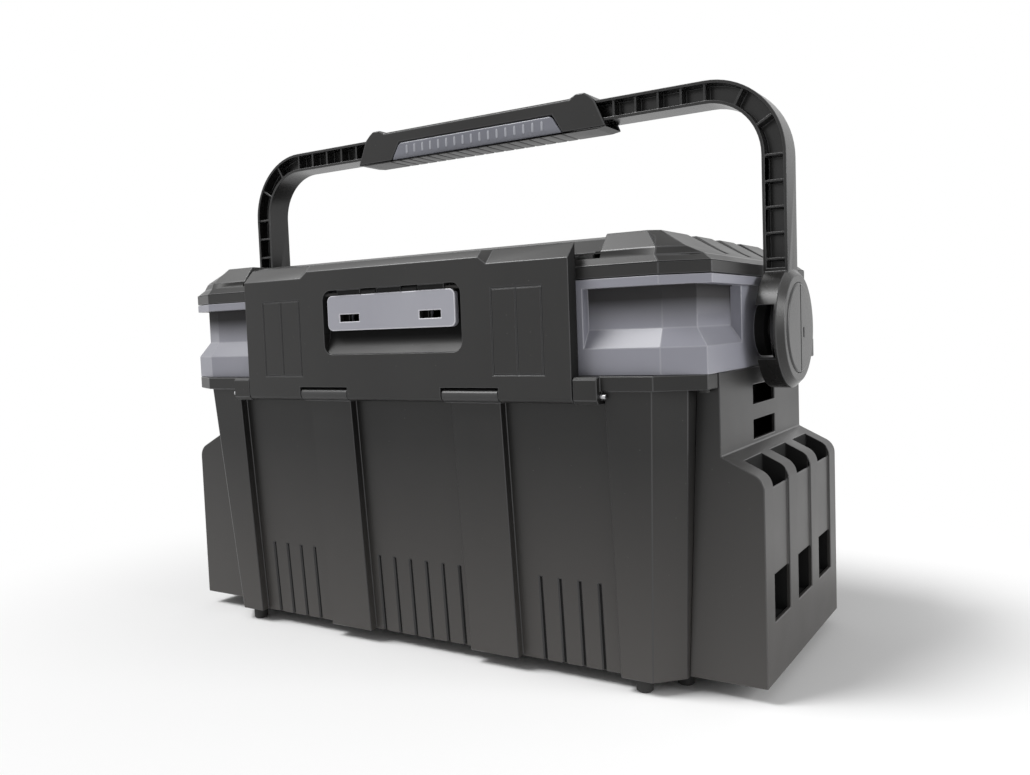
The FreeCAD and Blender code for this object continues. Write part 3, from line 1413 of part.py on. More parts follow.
def check_and_write():
    """Recompute, check every object and write each sub-part to its file."""
    doc.recompute()
    for item in doc.Objects:
        if "Invalid" in item.State or "Error" in item.State:
            raise RuntimeError(f"{item.Name}: {item.State}")
    os.makedirs("parts", exist_ok=True)
    for piece in pieces:
        shape = piece.Shape
        if shape.isNull() or not shape.isValid() or not shape.Solids:
            raise RuntimeError(f"{piece.Label}: no valid solid")
        shape.exportStep(f"parts/{piece.Label}.step")
        box = shape.BoundBox
        print(f"{piece.Label}: {len(shape.Solids)} solid, {shape.Volume / 1000:.1f} cm3, "
              f"x {box.XMin:.1f}..{box.XMax:.1f} y {box.YMin:.1f}..{box.YMax:.1f} "
              f"z {box.ZMin:.1f}..{box.ZMax:.1f}")


build_tub()
build_feet()
for side_name, side_sign in SIDES:
    build_rack(side_name, side_sign)
    build_rack_screws(side_name, side_sign)
build_upper_frame()
build_frame_screws()
build_lid()
build_front_flap()
build_latch_paddle()
build_pins()
build_bail()
for side_name, side_sign in SIDES:
    build_pivot_cap(side_name, side_sign)
build_grip()
check_and_write()
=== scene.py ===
import bmesh
import bpy
import json
import math
import numpy as np
from mathutils import Matrix, Vector


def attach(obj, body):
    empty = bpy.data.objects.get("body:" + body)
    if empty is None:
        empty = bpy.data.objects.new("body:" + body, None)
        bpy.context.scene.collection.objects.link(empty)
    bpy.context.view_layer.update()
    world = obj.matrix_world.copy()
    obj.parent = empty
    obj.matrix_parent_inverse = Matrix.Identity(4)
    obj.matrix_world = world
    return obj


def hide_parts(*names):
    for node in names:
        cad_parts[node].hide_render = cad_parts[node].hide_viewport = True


# Fishing seat box: black and grey mouldings, seen from the front right.
# Metres. X runs along the box, -Y is the front, Z is up.

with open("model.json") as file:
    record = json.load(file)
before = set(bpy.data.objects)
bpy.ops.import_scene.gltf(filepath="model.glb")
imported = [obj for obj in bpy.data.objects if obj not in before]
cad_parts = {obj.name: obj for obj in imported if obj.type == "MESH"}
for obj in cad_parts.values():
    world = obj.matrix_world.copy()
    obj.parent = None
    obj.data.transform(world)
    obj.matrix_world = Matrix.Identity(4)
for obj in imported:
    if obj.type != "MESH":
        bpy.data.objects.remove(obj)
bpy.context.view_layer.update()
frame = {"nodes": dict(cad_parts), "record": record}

MM = 0.001


# Camera and studio

LAMP_AIM = Vector((0.0, 0.0, 0.25))
SURROUND_LEVEL = 0.34
KEY_PLACE = (-1.0, -0.75, 2.0)
KEY_WIDTH = math.radians(28.0)
KEY_STRENGTH = 2.4
SIDE_PLACE = (1.9, 0.1, 0.8)
SIDE_SIZE = 0.9
SIDE_POWER = 16.0
FLOOR_REACH = 6.0
PALE_WITHIN = 0.32
WHITE_BEYOND = 0.62


def new_object(name, data):
    """An object at the origin that holds a mesh, a lamp or a camera."""
    piece = bpy.data.objects.new(name, data)
    bpy.context.scene.collection.objects.link(piece)
    return piece


def place_camera():
    """A long-sided view from the front right, a little above the lid."""
    yaw, pitch, roll = math.radians(32.0189), math.radians(3.7263), math.radians(-2.0916)
    place = Vector((0.449869, -0.680442, 0.254557))
    image_width, focal_px = 1030, 919.747
    forward = Vector((-math.sin(yaw) * math.cos(pitch), math.cos(yaw) * math.cos(pitch),
                      -math.sin(pitch)))
    across = Vector((math.cos(yaw), math.sin(yaw), 0.0))
    upward = across.cross(forward)
    right = math.cos(roll) * across + math.sin(roll) * upward
    top = -math.sin(roll) * across + math.cos(roll) * upward
    data = bpy.data.cameras.new("camera")
    data.sensor_width = 36.0
    data.lens = focal_px / image_width * data.sensor_width
    data.clip_start = 0.01
    camera = new_object("camera", data)
    turned = Matrix((right, top, -forward)).transposed().to_4x4()
    camera.matrix_world = Matrix.Translation(place) @ turned
    bpy.context.scene.camera = camera


def add_lamp(name, kind, place, energy):
    """A lamp turned towards the box; what comes back takes its width."""
    data = bpy.data.lights.new(name, kind)
    data.energy = energy
    lamp = new_object(name, data)
    place = Vector(place)
    turn = (LAMP_AIM - place).to_track_quat("-Z", "Y").to_matrix().to_4x4()
    lamp.matrix_world = Matrix.Translation(place) @ turn
    return data


def add_math(tree, operation, first, second=None, third=None):
    """One Math node; each operand is a socket or a number."""
    node = tree.nodes.new("ShaderNodeMath")
    node.operation = operation
    for place, operand in enumerate((first, second, third)):
        if operand is None:
            continue
        if isinstance(operand, (int, float)):
            node.inputs[place].default_value = operand
        else:
            tree.links.new(operand, node.inputs[place])
    return node.outputs[0]


def seen_rays(tree):
    """1 for rays that the camera sees, straight, mirrored or through glass; 0 for the light
    that falls on other faces."""
    rays = tree.nodes.new("ShaderNodeLightPath")
    indirect = add_math(tree, "MAXIMUM", rays.outputs["Is Glossy Ray"],
                        rays.outputs["Is Transmission Ray"])
    return add_math(tree, "MAXIMUM", rays.outputs["Is Camera Ray"], indirect)


def build_pale_floor():
    """The floor's material: pale and matt, and plain white where it is far away."""
    material = bpy.data.materials.new("pale_floor")
    material.use_nodes = True
    tree = material.node_tree
    nodes, links = tree.nodes, tree.links
    shader = nodes["Principled BSDF"]
    shader.inputs["Base Color"].default_value = (0.93, 0.93, 0.93, 1.0)
    shader.inputs["Roughness"].default_value = 0.9
    shader.inputs["Specular IOR Level"].default_value = 0.1
    white = nodes.new("ShaderNodeEmission")
    length = nodes.new("ShaderNodeVectorMath")
    length.operation = "LENGTH"
    links.new(nodes.new("ShaderNodeTexCoord").outputs["Object"], length.inputs[0])
    away = nodes.new("ShaderNodeMapRange")
    away.interpolation_type = "SMOOTHSTEP"
    away.inputs["From Min"].default_value = PALE_WITHIN
    away.inputs["From Max"].default_value = WHITE_BEYOND
    links.new(length.outputs["Value"], away.inputs["Value"])
    mix = nodes.new("ShaderNodeMixShader")
    share = add_math(tree, "MULTIPLY", away.outputs["Result"], seen_rays(tree))
    links.new(share, mix.inputs["Fac"])
    links.new(shader.outputs["BSDF"], mix.inputs[1])
    links.new(white.outputs["Emission"], mix.inputs[2])
    links.new(mix.outputs["Shader"], nodes["Material Output"].inputs["Surface"])
    return material


def build_studio():
    """A pale floor that keeps a soft shadow, a white surround and two lamps."""
    reach = FLOOR_REACH
    mesh = bpy.data.meshes.new("floor")
    mesh.from_pydata([(-reach, -reach, 0), (reach, -reach, 0), (reach, reach, 0),
                      (-reach, reach, 0)], [], [(0, 1, 2, 3)])
    mesh.materials.append(build_pale_floor())
    new_object("floor", mesh)
    world = bpy.data.worlds.new("studio")
    world.use_nodes = True
    tree = world.node_tree
    background = tree.nodes["Background"]
    background.inputs["Color"].default_value = (1, 1, 1, 1)
    level = tree.nodes.new("ShaderNodeMapRange")
    level.inputs["To Min"].default_value = SURROUND_LEVEL
    level.inputs["To Max"].default_value = 1.0
    tree.links.new(seen_rays(tree), level.inputs["Value"])
    tree.links.new(level.outputs["Result"], background.inputs["Strength"])
    bpy.context.scene.world = world
    add_lamp("key", "SUN", KEY_PLACE, KEY_STRENGTH).angle = KEY_WIDTH
    add_lamp("side", "AREA", SIDE_PLACE, SIDE_POWER).size = SIDE_SIZE


# Finishes

def new_group(name, inputs, outputs):
    """An empty effect group with named sockets, and its input and output nodes."""
    group = bpy.data.node_groups.new(name, "ShaderNodeTree")
    for label, kind, value in inputs:
        socket = group.interface.new_socket(label, in_out="INPUT", socket_type=kind)
        socket.default_value = value
    for label, kind in outputs:
        group.interface.new_socket(label, in_out="OUTPUT", socket_type=kind)
    return group, group.nodes.new("NodeGroupInput"), group.nodes.new("NodeGroupOutput")


def add_noise(group, place, scale, detail=2.0):
    """Noise at a scale in cells per metre."""
    node = group.nodes.new("ShaderNodeTexNoise")
    node.inputs["Detail"].default_value = detail
    group.links.new(place, node.inputs["Vector"])
    if isinstance(scale, (int, float)):
        node.inputs["Scale"].default_value = scale
    else:
        group.links.new(scale, node.inputs["Scale"])
    return node.outputs["Fac"]


def object_place(group):
    """The point on the object, in metres."""
    return group.nodes.new("ShaderNodeTexCoord").outputs["Object"]


def build_mould_grain():
    """Fine grain of a moulded face: a height, and a roughness around a middle value."""
    group, given, result = new_group(
        "mould_grain", [("Grain Scale", "NodeSocketFloat", 1400.0),
                        ("Middle Roughness", "NodeSocketFloat", 0.45),
                        ("Roughness Spread", "NodeSocketFloat", 0.12)],
        [("Height", "NodeSocketFloat"), ("Roughness", "NodeSocketFloat")])
    place = object_place(group)
    fine = add_noise(group, place, given.outputs["Grain Scale"], 3.0)
    broad = add_noise(group, place, 22.0, 3.0)
    group.links.new(fine, result.inputs["Height"])
    spread = add_math(group, "SUBTRACT", broad, 0.5)
    spread = add_math(group, "MULTIPLY", spread, given.outputs["Roughness Spread"])
    rough = add_math(group, "ADD", spread, given.outputs["Middle Roughness"])
    group.links.new(rough, result.inputs["Roughness"])
    return group


def build_flow_tint():
    """Broad uneven tint of a moulding, stretched up the walls, between two colours."""
    group, given, result = new_group(
        "flow_tint", [("Dark Color", "NodeSocketColor", (0, 0, 0, 1)),
                      ("Light Color", "NodeSocketColor", (1, 1, 1, 1)),
                      ("Flow Scale", "NodeSocketFloat", 9.0)],
        [("Color", "NodeSocketColor")])
    stretch = group.nodes.new("ShaderNodeMapping")
    stretch.inputs["Scale"].default_value = (1.0, 1.0, 0.35)
    group.links.new(object_place(group), stretch.inputs["Vector"])
    flow = add_noise(group, stretch.outputs["Vector"], given.outputs["Flow Scale"], 4.0)
    share = group.nodes.new("ShaderNodeMapRange")
    share.inputs["From Min"].default_value = 0.35
    share.inputs["From Max"].default_value = 0.65
    group.links.new(flow, share.inputs["Value"])
    mix = group.nodes.new("ShaderNodeMix")
    mix.data_type = "RGBA"
    group.links.new(share.outputs["Result"], mix.inputs["Factor"])
    group.links.new(given.outputs["Dark Color"], mix.inputs["A"])
    group.links.new(given.outputs["Light Color"], mix.inputs["B"])
    group.links.new(mix.outputs["Result"], result.inputs["Color"])
    return group


def build_dust():
    """Sparse pale specks and a thin bloom on the faces that look up."""
    group, given, result = new_group(
        "dust", [("Speck Scale", "NodeSocketFloat", 160.0),
                 ("Speck Size", "NodeSocketFloat", 0.07),
                 ("Bloom", "NodeSocketFloat", 0.25)],
        [("Mask", "NodeSocketFloat")])
    place = object_place(group)
    cells = group.nodes.new("ShaderNodeTexVoronoi")
    group.links.new(place, cells.inputs["Vector"])
    group.links.new(given.outputs["Speck Scale"], cells.inputs["Scale"])
    speck = add_math(group, "LESS_THAN", cells.outputs["Distance"], given.outputs["Speck Size"])
    gate = group.nodes.new("ShaderNodeSeparateColor")
    group.links.new(cells.outputs["Color"], gate.inputs["Color"])
    rare = add_math(group, "GREATER_THAN", gate.outputs["Red"], 0.8)
    speck = add_math(group, "MULTIPLY", speck, rare)
    axes = group.nodes.new("ShaderNodeSeparateXYZ")
    group.links.new(group.nodes.new("ShaderNodeNewGeometry").outputs["Normal"],
                    axes.inputs["Vector"])
    up = add_math(group, "SMOOTH_MAX", axes.outputs["Z"], 0.0, 0.05)
    patch = add_noise(group, place, 14.0, 4.0)
    bloom = add_math(group, "MULTIPLY", add_math(group, "MULTIPLY", up, patch),
                     given.outputs["Bloom"])
    mask = add_math(group, "MAXIMUM", speck, bloom)
    group.links.new(mask, result.inputs["Mask"])
    return group


def build_hollow():
    """A mask that is 1 between two corners, mirrored over both middle planes; it places painted
    shade, painted highlight or painted floor bounce. It fades in from a start height over a fade
    height, downwards where the fade height is negative."""
    group, given, result = new_group(
        "hollow", [("Low Corner", "NodeSocketVector", (0, 0, 0)),
                   ("High Corner", "NodeSocketVector", (1, 1, 1)),
                   ("Fade Start", "NodeSocketFloat", 0.0),
                   ("Fade Height", "NodeSocketFloat", 0.001)],
        [("Mask", "NodeSocketFloat")])
    point = group.nodes.new("ShaderNodeSeparateXYZ")
    group.links.new(object_place(group), point.inputs["Vector"])
    low = group.nodes.new("ShaderNodeSeparateXYZ")
    group.links.new(given.outputs["Low Corner"], low.inputs["Vector"])
    high = group.nodes.new("ShaderNodeSeparateXYZ")
    group.links.new(given.outputs["High Corner"], high.inputs["Vector"])
    mask = None
    for axis in "XYZ":
        place = point.outputs[axis] if axis == "Z" else add_math(group, "ABSOLUTE",
                                                                 point.outputs[axis])
        above = add_math(group, "GREATER_THAN", place, low.outputs[axis])
        below = add_math(group, "LESS_THAN", place, high.outputs[axis])
        both = add_math(group, "MULTIPLY", above, below)
        mask = both if mask is None else add_math(group, "MULTIPLY", mask, both)
    rise = add_math(group, "SUBTRACT", point.outputs["Z"], given.outputs["Fade Start"])
    fade = add_math(group, "DIVIDE", rise, given.outputs["Fade Height"])
    fade = add_math(group, "MAXIMUM", add_math(group, "MINIMUM", fade, 1.0), 0.0)
    mask = add_math(group, "MULTIPLY", mask, fade)
    group.links.new(mask, result.inputs["Mask"])
    return group


def build_groove_shade():
    """A mask of upright grooves at an even pitch in the middle bay, and of grooves half a
    pitch further on in the side bays, where painted shade darkens the grooves."""
    group, given, result = new_group(
        "groove_shade", [("Pitch", "NodeSocketFloat", 0.016),
                        ("Half Width", "NodeSocketFloat", 0.00135),
                        ("Top", "NodeSocketFloat", 0.0735)],
        [("Mask", "NodeSocketFloat")])
    point = group.nodes.new("ShaderNodeSeparateXYZ")
    group.links.new(object_place(group), point.inputs["Vector"])
    along = add_math(group, "ABSOLUTE", point.outputs["X"])
    pitch = given.outputs["Pitch"]
    half = add_math(group, "MULTIPLY", pitch, 0.5)
    mask = None
    for shift, low, high in ((0.0, 0.0, 0.05), (0.5, 0.1, 0.175)):
        moved = add_math(group, "MULTIPLY_ADD", pitch, shift, along)
        offset = add_math(group, "SUBTRACT", add_math(group, "MODULO", moved, pitch), half)
        near = add_math(group, "LESS_THAN", add_math(group, "ABSOLUTE", offset),
                        given.outputs["Half Width"])
        above = add_math(group, "GREATER_THAN", along, low)
        below = add_math(group, "LESS_THAN", along, high)
        bay = add_math(group, "MULTIPLY", near, add_math(group, "MULTIPLY", above, below))
        mask = bay if mask is None else add_math(group, "ADD", mask, bay)
    under = add_math(group, "LESS_THAN", point.outputs["Z"], given.outputs["Top"])
    group.links.new(add_math(group, "MULTIPLY", mask, under), result.inputs["Mask"])
    return group


def place_group(tree, group, values):
    """An effect group in a material's tree, with the values that differ from its own."""
    node = tree.nodes.new("ShaderNodeGroup")
    node.node_tree = group
    for label, value in values.items():
        node.inputs[label].default_value = value
    return node


def place_hollow(tree, low, high, fade_start, fade_height):
    """The mask of one box of painted light, given in mm."""
    inside = place_group(tree, hollow, {
        "Low Corner": [number * MM for number in low],
        "High Corner": [number * MM for number in high],
        "Fade Start": fade_start * MM, "Fade Height": fade_height * MM})
    return inside.outputs["Mask"]


def tint_over(tree, mask, color, over):
    """A colour socket with one more colour laid over it where the mask is 1."""
    mix = tree.nodes.new("ShaderNodeMix")
    mix.data_type = "RGBA"
    mix.inputs["B"].default_value = (*over, 1.0)
    tree.links.new(mask, mix.inputs["Factor"])
    tree.links.new(color, mix.inputs["A"])
    return mix.outputs["Result"]


def moulded(name, dark, light, roughness, grain=0.04, dust_color=(0.30, 0.29, 0.27),
            hollows=(), specular=0.5, shaded_grooves=False):
    """Moulded plastic: a broad tint, fine grain and a little dust. Each box of painted light is
    a low corner, a high corner, the colour painted there (painted shade in hollows and gaps, a
    painted highlight on ribs, a painted floor bounce towards the foot), and where and over what
    height it fades in; grooved mouldings also take painted shade in their grooves. Every
    painted colour but the floor bounce at the foot is dull as well."""
    material = bpy.data.materials.new(name)
    material.use_nodes = True
    tree = material.node_tree
    shader = tree.nodes["Principled BSDF"]
    shader.inputs["Specular IOR Level"].default_value = specular
    tint = place_group(tree, flow_tint, {"Dark Color": (*dark, 1.0),
                                         "Light Color": (*light, 1.0)})
    surface = place_group(tree, mould_grain, {"Middle Roughness": roughness})
    specks = place_group(tree, dust, {})
    share = add_math(tree, "MULTIPLY", specks.outputs["Mask"], DUST_SHARE)
    color = tint_over(tree, share, tint.outputs["Color"], dust_color)
    rough = surface.outputs["Roughness"]
    # Painted light: each box lays its painted colour over the tint
    masks = [(place_hollow(tree, low, high, fade_start, fade_height), painted_color)
             for low, high, painted_color, fade_start, fade_height in hollows]
    # Painted shade in the grooves
    if shaded_grooves:
        masks.append((place_group(tree, groove_shade, {}).outputs["Mask"], SHADE_BLACK))
    for mask, painted_color in masks:
        color = tint_over(tree, mask, color, painted_color)
        # Every painted colour but the painted floor bounce is made dull as well
        if painted_color != FLOOR_BOUNCE:
            rough = add_math(tree, "MAXIMUM", rough, mask)
    tree.links.new(color, shader.inputs["Base Color"])
    tree.links.new(rough, shader.inputs["Roughness"])
    bump = tree.nodes.new("ShaderNodeBump")
    bump.inputs["Strength"].default_value = grain
    bump.inputs["Distance"].default_value = GRAIN_DEPTH
    tree.links.new(surface.outputs["Height"], bump.inputs["Height"])
    tree.links.new(bump.outputs["Normal"], shader.inputs["Normal"])
    return material


def drawn_steel(name):
    """Bright drawn wire with an uneven polish."""
    material = bpy.data.materials.new(name)
    material.use_nodes = True
    tree = material.node_tree
    shader = tree.nodes["Principled BSDF"]
    shader.inputs["Metallic"].default_value = 1.0
    tint = place_group(tree, flow_tint, {"Dark Color": (0.42, 0.42, 0.43, 1.0),
                                         "Light Color": (0.62, 0.62, 0.63, 1.0),
                                         "Flow Scale": 60.0})
    surface = place_group(tree, mould_grain, {
        "Grain Scale": 900.0, "Middle Roughness": 0.32, "Roughness Spread": 0.2})
    tree.links.new(tint.outputs["Color"], shader.inputs["Base Color"])
    tree.links.new(surface.outputs["Roughness"], shader.inputs["Roughness"])
    return material


place_camera()
build_studio()
mould_grain = build_mould_grain()
flow_tint = build_flow_tint()
dust = build_dust()
hollow = build_hollow()
groove_shade = build_groove_shade()

# Colours; a pair is the dark and the light end of an uneven tint
BLACK = ((0.0095, 0.0093, 0.0091), (0.0150, 0.0146, 0.0141))
# Edge pairs are lighter colours for the bevels: a painted highlight along the edges
BLACK_EDGE_HIGHLIGHT = ((0.028, 0.028, 0.029), (0.042, 0.042, 0.043))
GREY = ((0.225, 0.226, 0.262), (0.252, 0.253, 0.290))
GREY_EDGE_HIGHLIGHT = ((0.26, 0.26, 0.295), (0.31, 0.31, 0.345))
PADDLE = ((0.30, 0.30, 0.34), (0.335, 0.336, 0.375))
PADDLE_EDGE_HIGHLIGHT = ((0.55, 0.55, 0.59), (0.62, 0.62, 0.66))
INSERT = ((0.17, 0.175, 0.205), (0.205, 0.21, 0.245))
RUBBER = ((0.018, 0.018, 0.018), (0.028, 0.027, 0.026))
# Painted shade for hollows, grooves and gaps
SHADE_BLACK = (0.004, 0.004, 0.004)
# Painted shade for the frame's recess walls
RECESS_SHADE = (0.030, 0.029, 0.030)
# Painted highlight for the tops of the grip's ribs
RIB_HIGHLIGHT = (0.42, 0.43, 0.47)
PALE_DUST = (0.45, 0.44, 0.43)
# Painted floor bounce: a lighter, warmer colour towards the foot
FLOOR_BOUNCE = (0.078, 0.073, 0.069)
DUST_SHARE = 0.12
GRAIN_DEPTH = 0.2 * MM

# Painted light in mm, mostly painted shade in hollows and gaps: low corner, high corner, colour,
# start and height of the fade
NO_FADE = (-1, 1)
# Painted floor bounce towards the foot, and painted shade inside the rod sockets
RACK_PAINTED_LIGHT = [((-1, -1, -1), (280, 110, 240), FLOOR_BOUNCE, 190, -260),
                ((253.2, -1, 47), (269.8, 19.3, 172), SHADE_BLACK, *NO_FADE),
                ((253.2, 39.7, 47), (269.8, 78.3, 172), SHADE_BLACK, *NO_FADE)]
# Painted floor bounce on the tub, lighter towards the foot
TUB_FLOOR_BOUNCE = [((-1, -1, -1), (260, 150, 221), FLOOR_BOUNCE, 170, -200)]
# Painted shade on the corner recess walls under the flange, darkest towards the top, and in the
# gap beside the disc
FRAME_PAINTED_SHADE = [((159.8, 46, 250.5), (236.5, 119.2, 278.8), RECESS_SHADE, 250.5, 20),
                 ((243.4, -1, 222), (251.5, 25, 272), SHADE_BLACK, *NO_FADE)]
# Painted shade on the walls of the paddle recess and on the flap's end face in its gap
FLAP_PAINTED_SHADE = [((-1, 128, 254.5), (67.4, 137.4, 289.2), SHADE_BLACK, *NO_FADE),
                ((155.2, 120, 200), (156, 137.6, 312), SHADE_BLACK, *NO_FADE)]
# Painted shadow under the paddle on the top of the scoop, fading in upwards
SCOOP_PAINTED_SHADOW = [((-1, 128, 236), (67.4, 139, 258), SHADE_BLACK, 239, 13)]
# Painted shade on the paddle's hinge barrels and behind its top, and in its slots
PADDLE_PAINTED_SHADE = [((-1, 120, 284.65), (70, 139, 290), SHADE_BLACK, *NO_FADE),
                  ((-1, 120, 282.5), (70, 137.3, 290), SHADE_BLACK, *NO_FADE),
                  ((29.4, 120, 263.9), (49.1, 137.6, 269.6), SHADE_BLACK, *NO_FADE)]
# Painted shade in the disc's notch
NOTCH_PAINTED_SHADE = [((248, 34, 226.4), (264.5, 42.9, 263.6), SHADE_BLACK, *NO_FADE)]
# Painted highlight on the tops of the ribs of both grip inserts
RIB_PAINTED_HIGHLIGHT = [((-1, 17.42, 413.4), (80, 18.5, 422.6), RIB_HIGHLIGHT, *NO_FADE),
                  ((-1, 12.42, 413.4), (80, 13.5, 422.6), RIB_HIGHLIGHT, *NO_FADE)]

tub_black = moulded("tub_black", *BLACK, 0.40, hollows=TUB_FLOOR_BOUNCE, specular=0.35,
                    shaded_grooves=True)
black_plastic = moulded("black_plastic", *BLACK, 0.38, specular=0.4)
# The edge finishes are lighter than their mouldings: a painted highlight on the bevels
black_edge_highlight = moulded("black_edge_highlight", *BLACK_EDGE_HIGHLIGHT, 0.3)
rack_black = moulded("rack_black", *BLACK, 0.38, hollows=RACK_PAINTED_LIGHT, specular=0.4)
rack_edge_highlight = moulded("rack_edge_highlight", *BLACK_EDGE_HIGHLIGHT, 0.3, hollows=RACK_PAINTED_LIGHT)
flap_black = moulded("flap_black", *BLACK, 0.38, hollows=FLAP_PAINTED_SHADE, specular=0.4)
scoop_black = moulded("scoop_black", *BLACK, 0.42, hollows=SCOOP_PAINTED_SHADOW, specular=0.3)
disc_black = moulded("disc_black", *BLACK, 0.26, hollows=NOTCH_PAINTED_SHADE, specular=0.45)
grey_plastic = moulded("grey_plastic", *GREY, 0.36, dust_color=PALE_DUST,
                       hollows=FRAME_PAINTED_SHADE)
grey_edge_highlight = moulded("grey_edge_highlight", *GREY_EDGE_HIGHLIGHT, 0.32, dust_color=PALE_DUST,
                    hollows=FRAME_PAINTED_SHADE)
paddle_grey = moulded("paddle_grey", *PADDLE, 0.32, dust_color=PALE_DUST,
                      hollows=PADDLE_PAINTED_SHADE)
paddle_edge_highlight = moulded("paddle_edge_highlight", *PADDLE_EDGE_HIGHLIGHT, 0.28, dust_color=PALE_DUST,
                      hollows=PADDLE_PAINTED_SHADE)
insert_grey = moulded("insert_grey", *INSERT, 0.26, dust_color=PALE_DUST,
                      hollows=RIB_PAINTED_HIGHLIGHT)
rubber = moulded("rubber", *RUBBER, 0.75, grain=0.1)
steel = drawn_steel("steel")


# Moulded pieces

MERGE_DISTANCE = 1e-6
FLAT_ANGLE = math.radians(1.0)
PANEL_CREASE = math.radians(40)


def softened(node, body, finish, width, edge_highlight=None, segments=2, angle=24,
             flat=False):
    """A moulded copy of a CAD node: its loose triangles joined, its flats made whole,
    and its edges rounded by a narrow bevel that carries a finish of its own; that finish is a
    lighter colour, a painted highlight along the edges."""
    mesh = frame["nodes"][node].data.copy()
    mesh.name = f"{node}_moulded"
    shape = bmesh.new()
    shape.from_mesh(mesh)
    bmesh.ops.remove_doubles(shape, verts=shape.verts, dist=MERGE_DISTANCE)
    bmesh.ops.dissolve_limit(shape, angle_limit=FLAT_ANGLE, verts=shape.verts,
                             edges=shape.edges)
    shape.to_mesh(mesh)
    shape.free()
    mesh.materials.clear()
    mesh.materials.append(finish)
    if flat:
        mesh.shade_flat()
    else:
        mesh.shade_smooth()
        mesh.set_sharp_from_angle(angle=math.radians(angle))
    piece = new_object(mesh.name, mesh)
    bevel = piece.modifiers.new("soft_edges", "BEVEL")
    bevel.width = width * MM
    bevel.segments = segments
    bevel.limit_method = "ANGLE"
    bevel.angle_limit = math.radians(angle)
    bevel.harden_normals = not flat
    bevel.use_clamp_overlap = False
    # Painted highlight: the bevel faces take the lighter edge finish
    if edge_highlight:
        mesh.materials.append(edge_highlight)
        bevel.material = 1
    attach(piece, body)
    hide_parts(node)
    return piece


def closed_panel(name, front, back, body, finish, replaced=()):
    """A closed piece between two grids of the same size: the first and the last rows and
    columns of the two are joined by walls."""
    rows, columns = front.shape[:2]
    points = np.concatenate((front.reshape(-1, 3), back.reshape(-1, 3))) * MM
    index = np.arange(rows * columns).reshape(rows, columns)
    shift = rows * columns
    quads = np.stack((index[:-1, :-1], index[:-1, 1:], index[1:, 1:], index[1:, :-1]),
                     axis=-1).reshape(-1, 4)
    rim = np.concatenate((index[0, :-1], index[:-1, -1], index[-1, :0:-1], index[:0:-1, 0]))
    after = np.roll(rim, -1)
    walls = np.stack((rim, rim + shift, after + shift, after), axis=-1)
    faces = np.concatenate((quads, quads[:, ::-1] + shift, walls))
    mesh = bpy.data.meshes.new(name)
    mesh.from_pydata(points.tolist(), [], faces.tolist())
    shape = bmesh.new()
    shape.from_mesh(mesh)
    bmesh.ops.remove_doubles(shape, verts=shape.verts, dist=MERGE_DISTANCE)
    bmesh.ops.recalc_face_normals(shape, faces=shape.faces)
    shape.to_mesh(mesh)
    shape.free()
    mesh.materials.append(finish)
    mesh.shade_smooth()
    mesh.set_sharp_from_angle(angle=PANEL_CREASE)
    piece = new_object(name, mesh)
    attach(piece, body)
    if replaced:
        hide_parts(*replaced)
    return piece


# Grip insert, in mm
INSERT_BASE_Z = 410.0
INSERT_TOP_Z = 424.7
INSERT_BASE_HALF = 88.0
INSERT_TOP_HALF = 78.8
INSERT_CORNER = 2.2
INSERT_CORNER_FROM = 0.8
INSERT_FACE = 2.3
INSERT_THIN = 0.25
INSERT_ROLL = 5.5
INSERT_ROLL_DROP = 1.9
INSERT_RIM = 1.4
INSERT_RIM_DROP = 1.0
ROLL_REACH = 0.98
INSERT_RIBS = 17
RIB_FOOT_Z = 413.5
RIB_TOP_Z = 422.2
RIB_FADE = 1.5
RIB_HEIGHT = 0.55
RIB_WIDTH = 0.75


def rolled(share):
    """How far a rolled edge falls, from 0 to nearly 1, along a quarter circle."""
    return 1 - np.sqrt(1 - ROLL_REACH * share ** 2)


def build_grip_insert(name, sign, inner_y):
    """A ribbed insert: a face that narrows upwards, rolls back towards its foot along a
    quarter circle and at its other edges along a short one, and carries upright ribs whose
    height is a bell curve across each of them and fades out above and below."""
    across, up = np.meshgrid(np.linspace(-1, 1, 341), np.linspace(0, 1, 33))
    half = INSERT_BASE_HALF + (INSERT_TOP_HALF - INSERT_BASE_HALF) * up
    corner = np.clip((up - INSERT_CORNER_FROM) / (1 - INSERT_CORNER_FROM), 0, 1)
    half = half - INSERT_CORNER * corner ** 3
    x = across * half
    z = INSERT_BASE_Z + (INSERT_TOP_Z - INSERT_BASE_Z) * up
    foot = np.clip((INSERT_BASE_Z + INSERT_ROLL - z) / INSERT_ROLL, 0, 1)
    inside = np.minimum(half - np.abs(x), INSERT_TOP_Z - z)
    edge = np.clip((INSERT_RIM - inside) / INSERT_RIM, 0, 1)
    drop = INSERT_ROLL_DROP * rolled(foot) + INSERT_RIM_DROP * rolled(edge)
    pitch = 2 * INSERT_TOP_HALF / (INSERT_RIBS + 1)
    offset = x - pitch * np.round(x / pitch)
    fade = np.clip((z - RIB_FOOT_Z) / RIB_FADE, 0, 1) * np.clip((RIB_TOP_Z - z) / RIB_FADE, 0, 1)
    fade = fade * (np.abs(x) < pitch * (INSERT_RIBS / 2))
    rib = RIB_HEIGHT * np.exp(-(offset / RIB_WIDTH) ** 2) * fade
    height = np.maximum(INSERT_FACE - drop, INSERT_THIN) + rib
    front = np.stack((x, inner_y + sign * height, z), axis=-1)
    back = np.stack((x, np.full_like(x, inner_y), z), axis=-1)
    closed_panel(f"{name}_rolled", front, back, "handle", insert_grey, (name,))


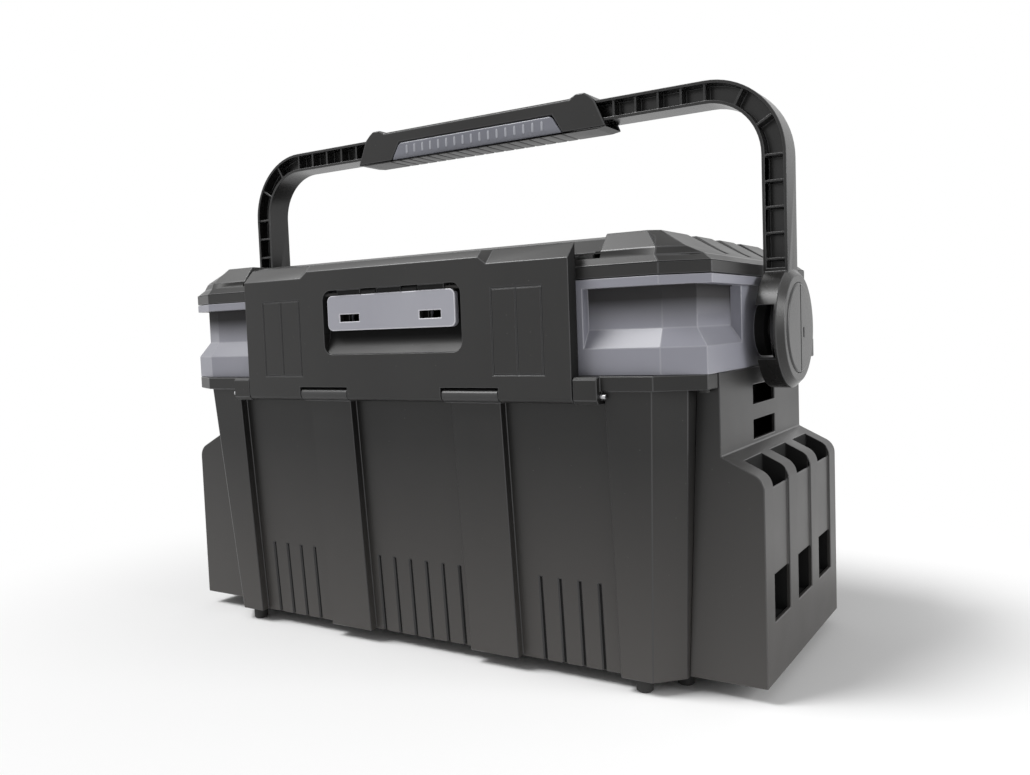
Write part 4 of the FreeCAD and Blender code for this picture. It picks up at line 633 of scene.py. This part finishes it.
# Finger scoop, in mm
SCOOP_TOP_Z = 257.0
SCOOP_HEIGHT = 18.3
SCOOP_START_Y = -130.05
SCOOP_FLARE = 7.5
SCOOP_POWER = 1.6
SCOOP_BACK_Y = -129.6
SCOOP_HALF = 58.7
SCOOP_CORNER = 8.0
SCOOP_CORNER_Z = 246.4


def build_finger_scoop():
    """The hollow under the paddle: a profile that leaves the recess floor upright and flares
    out to its lip as a power curve, carried along the box and narrowed by the round corners."""
    along, down = np.meshgrid(np.linspace(-1, 1, 61), np.linspace(0, 1, 25))
    z = SCOOP_TOP_Z - SCOOP_HEIGHT * down
    y = SCOOP_START_Y - SCOOP_FLARE * down ** SCOOP_POWER
    corner = np.clip(SCOOP_CORNER_Z - z, 0, SCOOP_CORNER - 0.1)
    half = SCOOP_HALF + np.sqrt(SCOOP_CORNER ** 2 - corner ** 2)
    front = np.stack((along * half, y, z), axis=-1)
    back = np.stack((along * half, np.full_like(y, SCOOP_BACK_Y), z), axis=-1)
    closed_panel("finger_scoop", front, back, "flap", scoop_black)


softened("tub", "box", tub_black, 0.5, black_edge_highlight, segments=1, angle=7,
         flat=True)
softened("lid", "lid", black_plastic, 0.7, black_edge_highlight, angle=7)
softened("front_flap", "flap", flap_black, 0.5, black_edge_highlight, angle=20)
softened("upper_frame", "box", grey_plastic, 0.6, grey_edge_highlight, angle=9)
softened("latch_paddle", "latch", paddle_grey, 0.8, paddle_edge_highlight, segments=3,
         angle=35)
softened("handle_bail", "handle", disc_black, 0.5, black_edge_highlight)
softened("grip_cover", "handle", black_plastic, 1.2, black_edge_highlight, segments=3)
softened("grip_under", "handle", black_plastic, 0.3)
for side in ("left", "right"):
    softened(f"rod_rack_{side}", "box", rack_black, 0.8, rack_edge_highlight, angle=14)
    softened(f"pivot_cap_{side}", "handle", disc_black, 0.6, black_edge_highlight)
build_grip_insert("grip_insert_front", -1, -15.0)
build_grip_insert("grip_insert_back", 1, 10.0)
build_finger_scoop()

FINISHES = {"rubber": rubber, "steel": steel, "grey_plastic": grey_plastic}
for part in frame["record"]["subparts"]:
    node = frame["nodes"][part["node"]]
    node.data.materials.clear()
    finish = FINISHES.get(part["material_slot"], black_plastic)
    fastener = "screws" in part["node"] or part["node"] == "latch_pin"
    node.data.materials.append(rubber if fastener else finish)

bpy.context.scene.view_settings.view_transform = "Standard"
